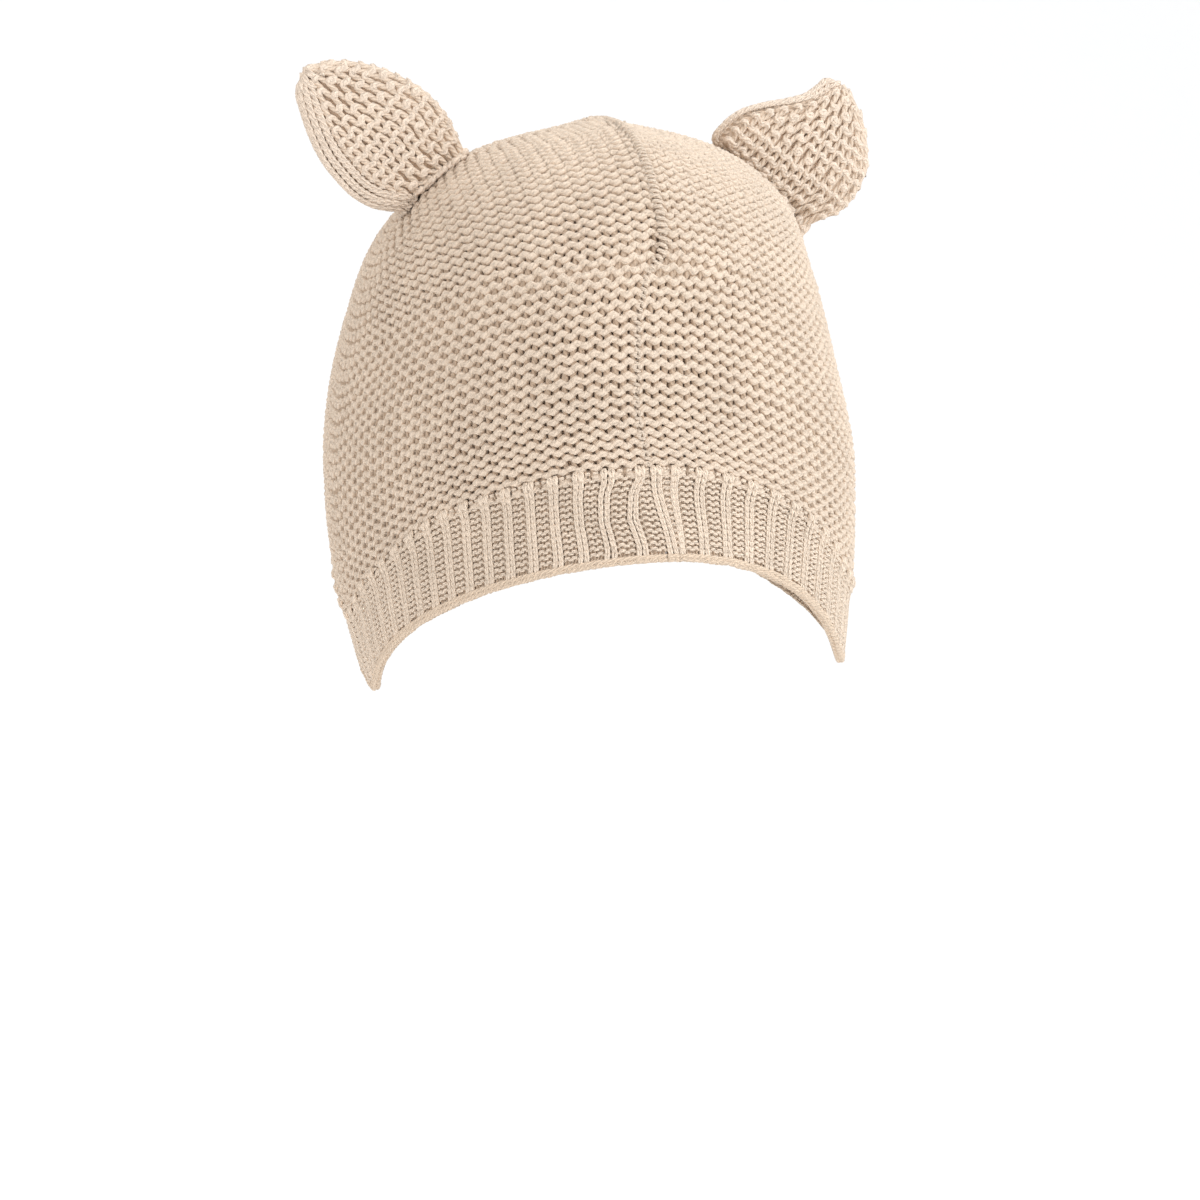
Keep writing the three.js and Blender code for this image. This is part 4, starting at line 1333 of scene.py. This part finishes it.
def ear_surface(ear, along, angle, sink=0.0):
    """A point of the leaf: foot + axis along + across width cos q + front (thick / 2 |sin q|^0.7 + bow +
    cup), where q is 0 at the upper edge and pi at the lower, and sink makes the whole section smaller. Near
    the base the section passes into the line between the two corners on the crown."""
    corners, foot, axis, across = ear_axis(ear)
    along, angle = np.broadcast_arrays(np.asarray(along, float), np.asarray(angle, float))
    low, high, thick, forward, cup = np.moveaxis(smooth_table(ear["sections"], along), -1, 0)
    wide = np.cos(angle)
    width = wide * np.maximum(np.where(wide > 0, high, low) - sink, LEAST_HALF)
    half = np.maximum(thick / 2 - sink, LEAST_HALF)
    deep = np.sign(np.sin(angle)) * np.abs(np.sin(angle)) ** EAR_SQUARENESS * half
    point = foot + along[..., None] * axis + width[..., None] * across
    point[..., 1] -= deep + forward + cup * (wide**2 - 0.5)
    share = ((1 - wide) / 2)[..., None]
    base = corners[0] * (1 - share) + corners[1] * share
    base[..., 1] -= deep
    base[..., 2] += EAR_SEAT
    near = 1 - ease(along, 0, BASE_BLEND)[..., None]
    point = point * (1 - near) + base * near
    lowest = crown_height(point[..., 0], point[..., 1]) + EAR_CLEAR * (1 - near[..., 0])
    point[..., 2] = np.maximum(point[..., 2], lowest)
    return point


ALONG_STEP, ANGLE_STEP = 0.004, 0.06


def leaf_normals(ear, along, angle):
    """Unit normals of the leaf, from differences along it and round it, pointing away from its middle."""
    over = ear_surface(ear, along + ALONG_STEP, angle) - ear_surface(ear, along - ALONG_STEP, angle)
    around = ear_surface(ear, along, angle + ANGLE_STEP) - ear_surface(ear, along, angle - ANGLE_STEP)
    normal = unit(np.cross(around, over))
    here = ear_surface(ear, along, angle)
    middle = (here + ear_surface(ear, along, -angle)) / 2
    outwards = np.sum((here - middle) * normal, -1, keepdims=True)
    return normal * np.where(outwards < 0, -1, 1)


for name, ear in EARS.items():
    share = np.linspace(0, 1, 41)
    skin = ear_surface(ear, share[:, None], 2 * np.pi * share).reshape(-1, 3)
    print(name, "form and solid agree within", agreement(name, skin), "mm")

# %% The ears: sizes of the rows
EAR_ROW_STEP = 3.2
EAR_STITCH = 4.1
COLUMN_WIDTH = 2.3
COLUMN_STEP = 1.9
COLUMN_RADIUS = 0.65
COLUMN_WAVE = 0.4
EAR_RADIUS = 0.95
EAR_LIFT = 0.7
EAR_LIFTED, LIFT_FADE = 2.0, 5
AXIS_ENDS = (0.003, 0.995)
RIDGE_GAP, COURSE_GAP, COURSE_LEAD = 0.8, 1.0, 0.7
EDGE_SHARE = 0.4
GARTER_CHANCE, GARTER_SLIP = 0.08, 0.03
GARTER_TILT = 0.05
GARTER_WAVE = 0.3
GARTER_REACH = 0.64
GARTER_SWELL = 0.07
GARTER_DEPTH = 1.0
COLUMN_REACH = 0.85
COLUMN_SWELL = 0.18
COLUMN_PINCH = 0.08
COLUMN_DEPTH, COLUMN_SHADE = 0.95, 0.7
GARTER_GROOVE, COLUMN_GROOVE = 1.1, 1.3


# %% The ears: rows
def ring_angles(ear, along):
    """Angles round one section at even steps from the ear's start, and the running length at each."""
    angle = ear["start"] + ear["way"] * np.linspace(0, 2 * np.pi, EAR_ROUND)
    return angle, lengths_along(ear_surface(ear, along, angle))


def edge_width(ear, total):
    """Width of the edge wales together, less where the leaf is narrow."""
    return min(ear["columns"] * COLUMN_WIDTH, EDGE_SHARE * total)


def on_ear(ear, along, up, run, sink):
    """Points and normals on the leaf from a row's place along the axis, the rise over it, the running length
    round the section, and the depth under the skin."""
    angle, lengths = ring_angles(ear, along)
    angle = np.interp(run, lengths, angle)
    along = np.clip(along + up / np.linalg.norm(ear_axis(ear)[2]), *AXIS_ENDS)
    normal = leaf_normals(ear, along, angle)
    return ear_surface(ear, along, angle) - np.asarray(sink)[..., None] * normal, normal


def garter_row(ear, along, lift=0.0):
    """One ridge of garter stitch round the leaf, from the edge wales over the other edge and round the back.
    The heads, towards the tip, stand out more than the feet: out = wave cos 2t - tilt cos t. The row at the
    base is lifted, where it is sewn to the crown."""
    total = ring_angles(ear, along)[1][-1]
    start = edge_width(ear, total)
    count = max(int(round((total - start) / EAR_STITCH)), 2)
    places = phases_between(0, count)
    shift, up, out = loop_path(places, GARTER_REACH * EAR_ROW_STEP, GARTER_SWELL, GARTER_WAVE)
    out -= GARTER_TILT * np.cos(2 * np.pi * places)
    up *= 1 + slow_noise(places, GARTER_CHANCE)
    run = start + np.clip(shift + slow_noise(places, GARTER_SLIP), 0, count) * (total - start) / count
    radius = EAR_RADIUS * (1 + YARN_SQUEEZE * out / GARTER_WAVE) * (1 + slow_noise(places, RADIUS_CHANCE))
    groove = ear["groove"] * np.exp(-(((run - start) / GARTER_GROOVE) ** 2))
    groove -= lift * ease(run, start, start + LIFT_FADE)
    points, normals = on_ear(ear, along, up, run, GARTER_DEPTH + GARTER_WAVE - out + groove)
    return points, normals, radius, np.clip(hidden(out, GARTER_WAVE), 0, 1)


def column_row(ear, along, lift=0.0):
    """One course of the stocking stitch along the edge: knitted loops, out = -wave cos 2t, pinched to V's."""
    columns = ear["columns"]
    width = edge_width(ear, ring_angles(ear, along)[1][-1]) / columns
    places = phases_between(0, columns, RIB_PHASES)
    shift, up, out = loop_path(places, COLUMN_REACH * COLUMN_STEP, COLUMN_SWELL, -COLUMN_WAVE)
    shift += COLUMN_PINCH * np.sin(2 * np.pi * places)
    radius = np.full(len(places), COLUMN_RADIUS) * (1 + slow_noise(places, RADIUS_CHANCE))
    groove = ear["groove"] * np.exp(-(((columns - shift) * width / COLUMN_GROOVE) ** 2))
    points, normals = on_ear(ear, along, up, shift * width, COLUMN_DEPTH - out + groove - lift)
    return points, normals, radius, hidden(out, COLUMN_WAVE) * COLUMN_SHADE


# %% The ears: cores
CORE_SECTIONS, CORE_ROUND = 25, 32
CORE_ENDS = (0.01, 0.97)
CORE_DEPTH = 1.75
CORE_STITCHES, CORE_COURSES = 2.5, 20


def ear_core(ear):
    """The legs of the loops inside the leaf: a smaller closed leaf, as a grid with both its ends closed."""
    along = np.linspace(*CORE_ENDS, CORE_SECTIONS)[:, None]
    angle = np.arange(CORE_ROUND) * 2 * np.pi / CORE_ROUND
    verts = ear_surface(ear, along, angle, CORE_DEPTH)
    index = np.arange(CORE_SECTIONS * CORE_ROUND).reshape(CORE_SECTIONS, CORE_ROUND)
    after = np.roll(index, -1, axis=1)
    quads = np.stack([index[:-1], after[:-1], after[1:], index[1:]], -1).reshape(-1, 4)
    faces = quads.tolist() + [index[0].tolist(), index[-1, ::-1].tolist()]
    uv = np.stack(np.broadcast_arrays(angle * CORE_STITCHES, along * CORE_COURSES), -1)
    return verts.reshape(-1, 3), faces, uv.reshape(-1, 2)


# %% The ears: pieces
ear_pieces = {}
for name, ear in EARS.items():
    length = np.linalg.norm(ear_axis(ear)[2])
    ridges = np.arange(ear["first"], length - RIDGE_GAP, EAR_ROW_STEP) / length
    courses = np.arange(ear["first"] - COURSE_LEAD, length - COURSE_GAP, COLUMN_STEP) / length
    strands = [garter_row(ear, at, EAR_LIFT * (at < EAR_LIFTED / length)) for at in ridges]
    strands += [column_row(ear, at, EAR_LIFT * (at < EAR_LIFTED / length)) for at in courses]
    rows = new_piece(yarn_mesh(name + "_rows", strands, YARN_SIDES), EAR_YARN)
    # the core stands for the legs inside the leaf; its colour, darker than the ear's yarn, is painted shade
    core = new_piece(closed_mesh(name + "_core", *ear_core(ear)), CLOTH_INSIDE_SHADE)
    ear_pieces[name] = [rows, core]
    print(name, "has", len(ridges), "ridges")

# %% [markdown]
# ## What rides on what
#
# All the cloth is one body. Each piece is hung on it, and the solid it stands for is hidden. The sheets
# under the yarn were knitted to their own form and stretched over the head's; their flat sizes and the yarn
# rows on them are noted. The ears keep their leaf shape by themselves.

# %% What rides on what
for kind, pieces, solid in (("body_knit", body_pieces, "crown_"), ("rib_knit", band_pieces, "rib_band_")):
    for name, half in pieces.items():
        for piece in half + [cloth for cloth, (_, rows) in cloths.items() if rows is half]:
            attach(piece, "root")
            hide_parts(solid + name)
for name, pieces in ear_pieces.items():
    for piece in pieces:
        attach(piece, "root")
        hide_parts(name)
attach(seam_piece, "root")

shown = [thing for thing in bpy.context.scene.objects if thing.type == "MESH" and thing is not sweep]
added = [thing for thing in shown if "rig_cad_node" not in thing]
print(len(added), "pieces added,", sum(triangle_count(thing.data) for thing in added), "triangles")
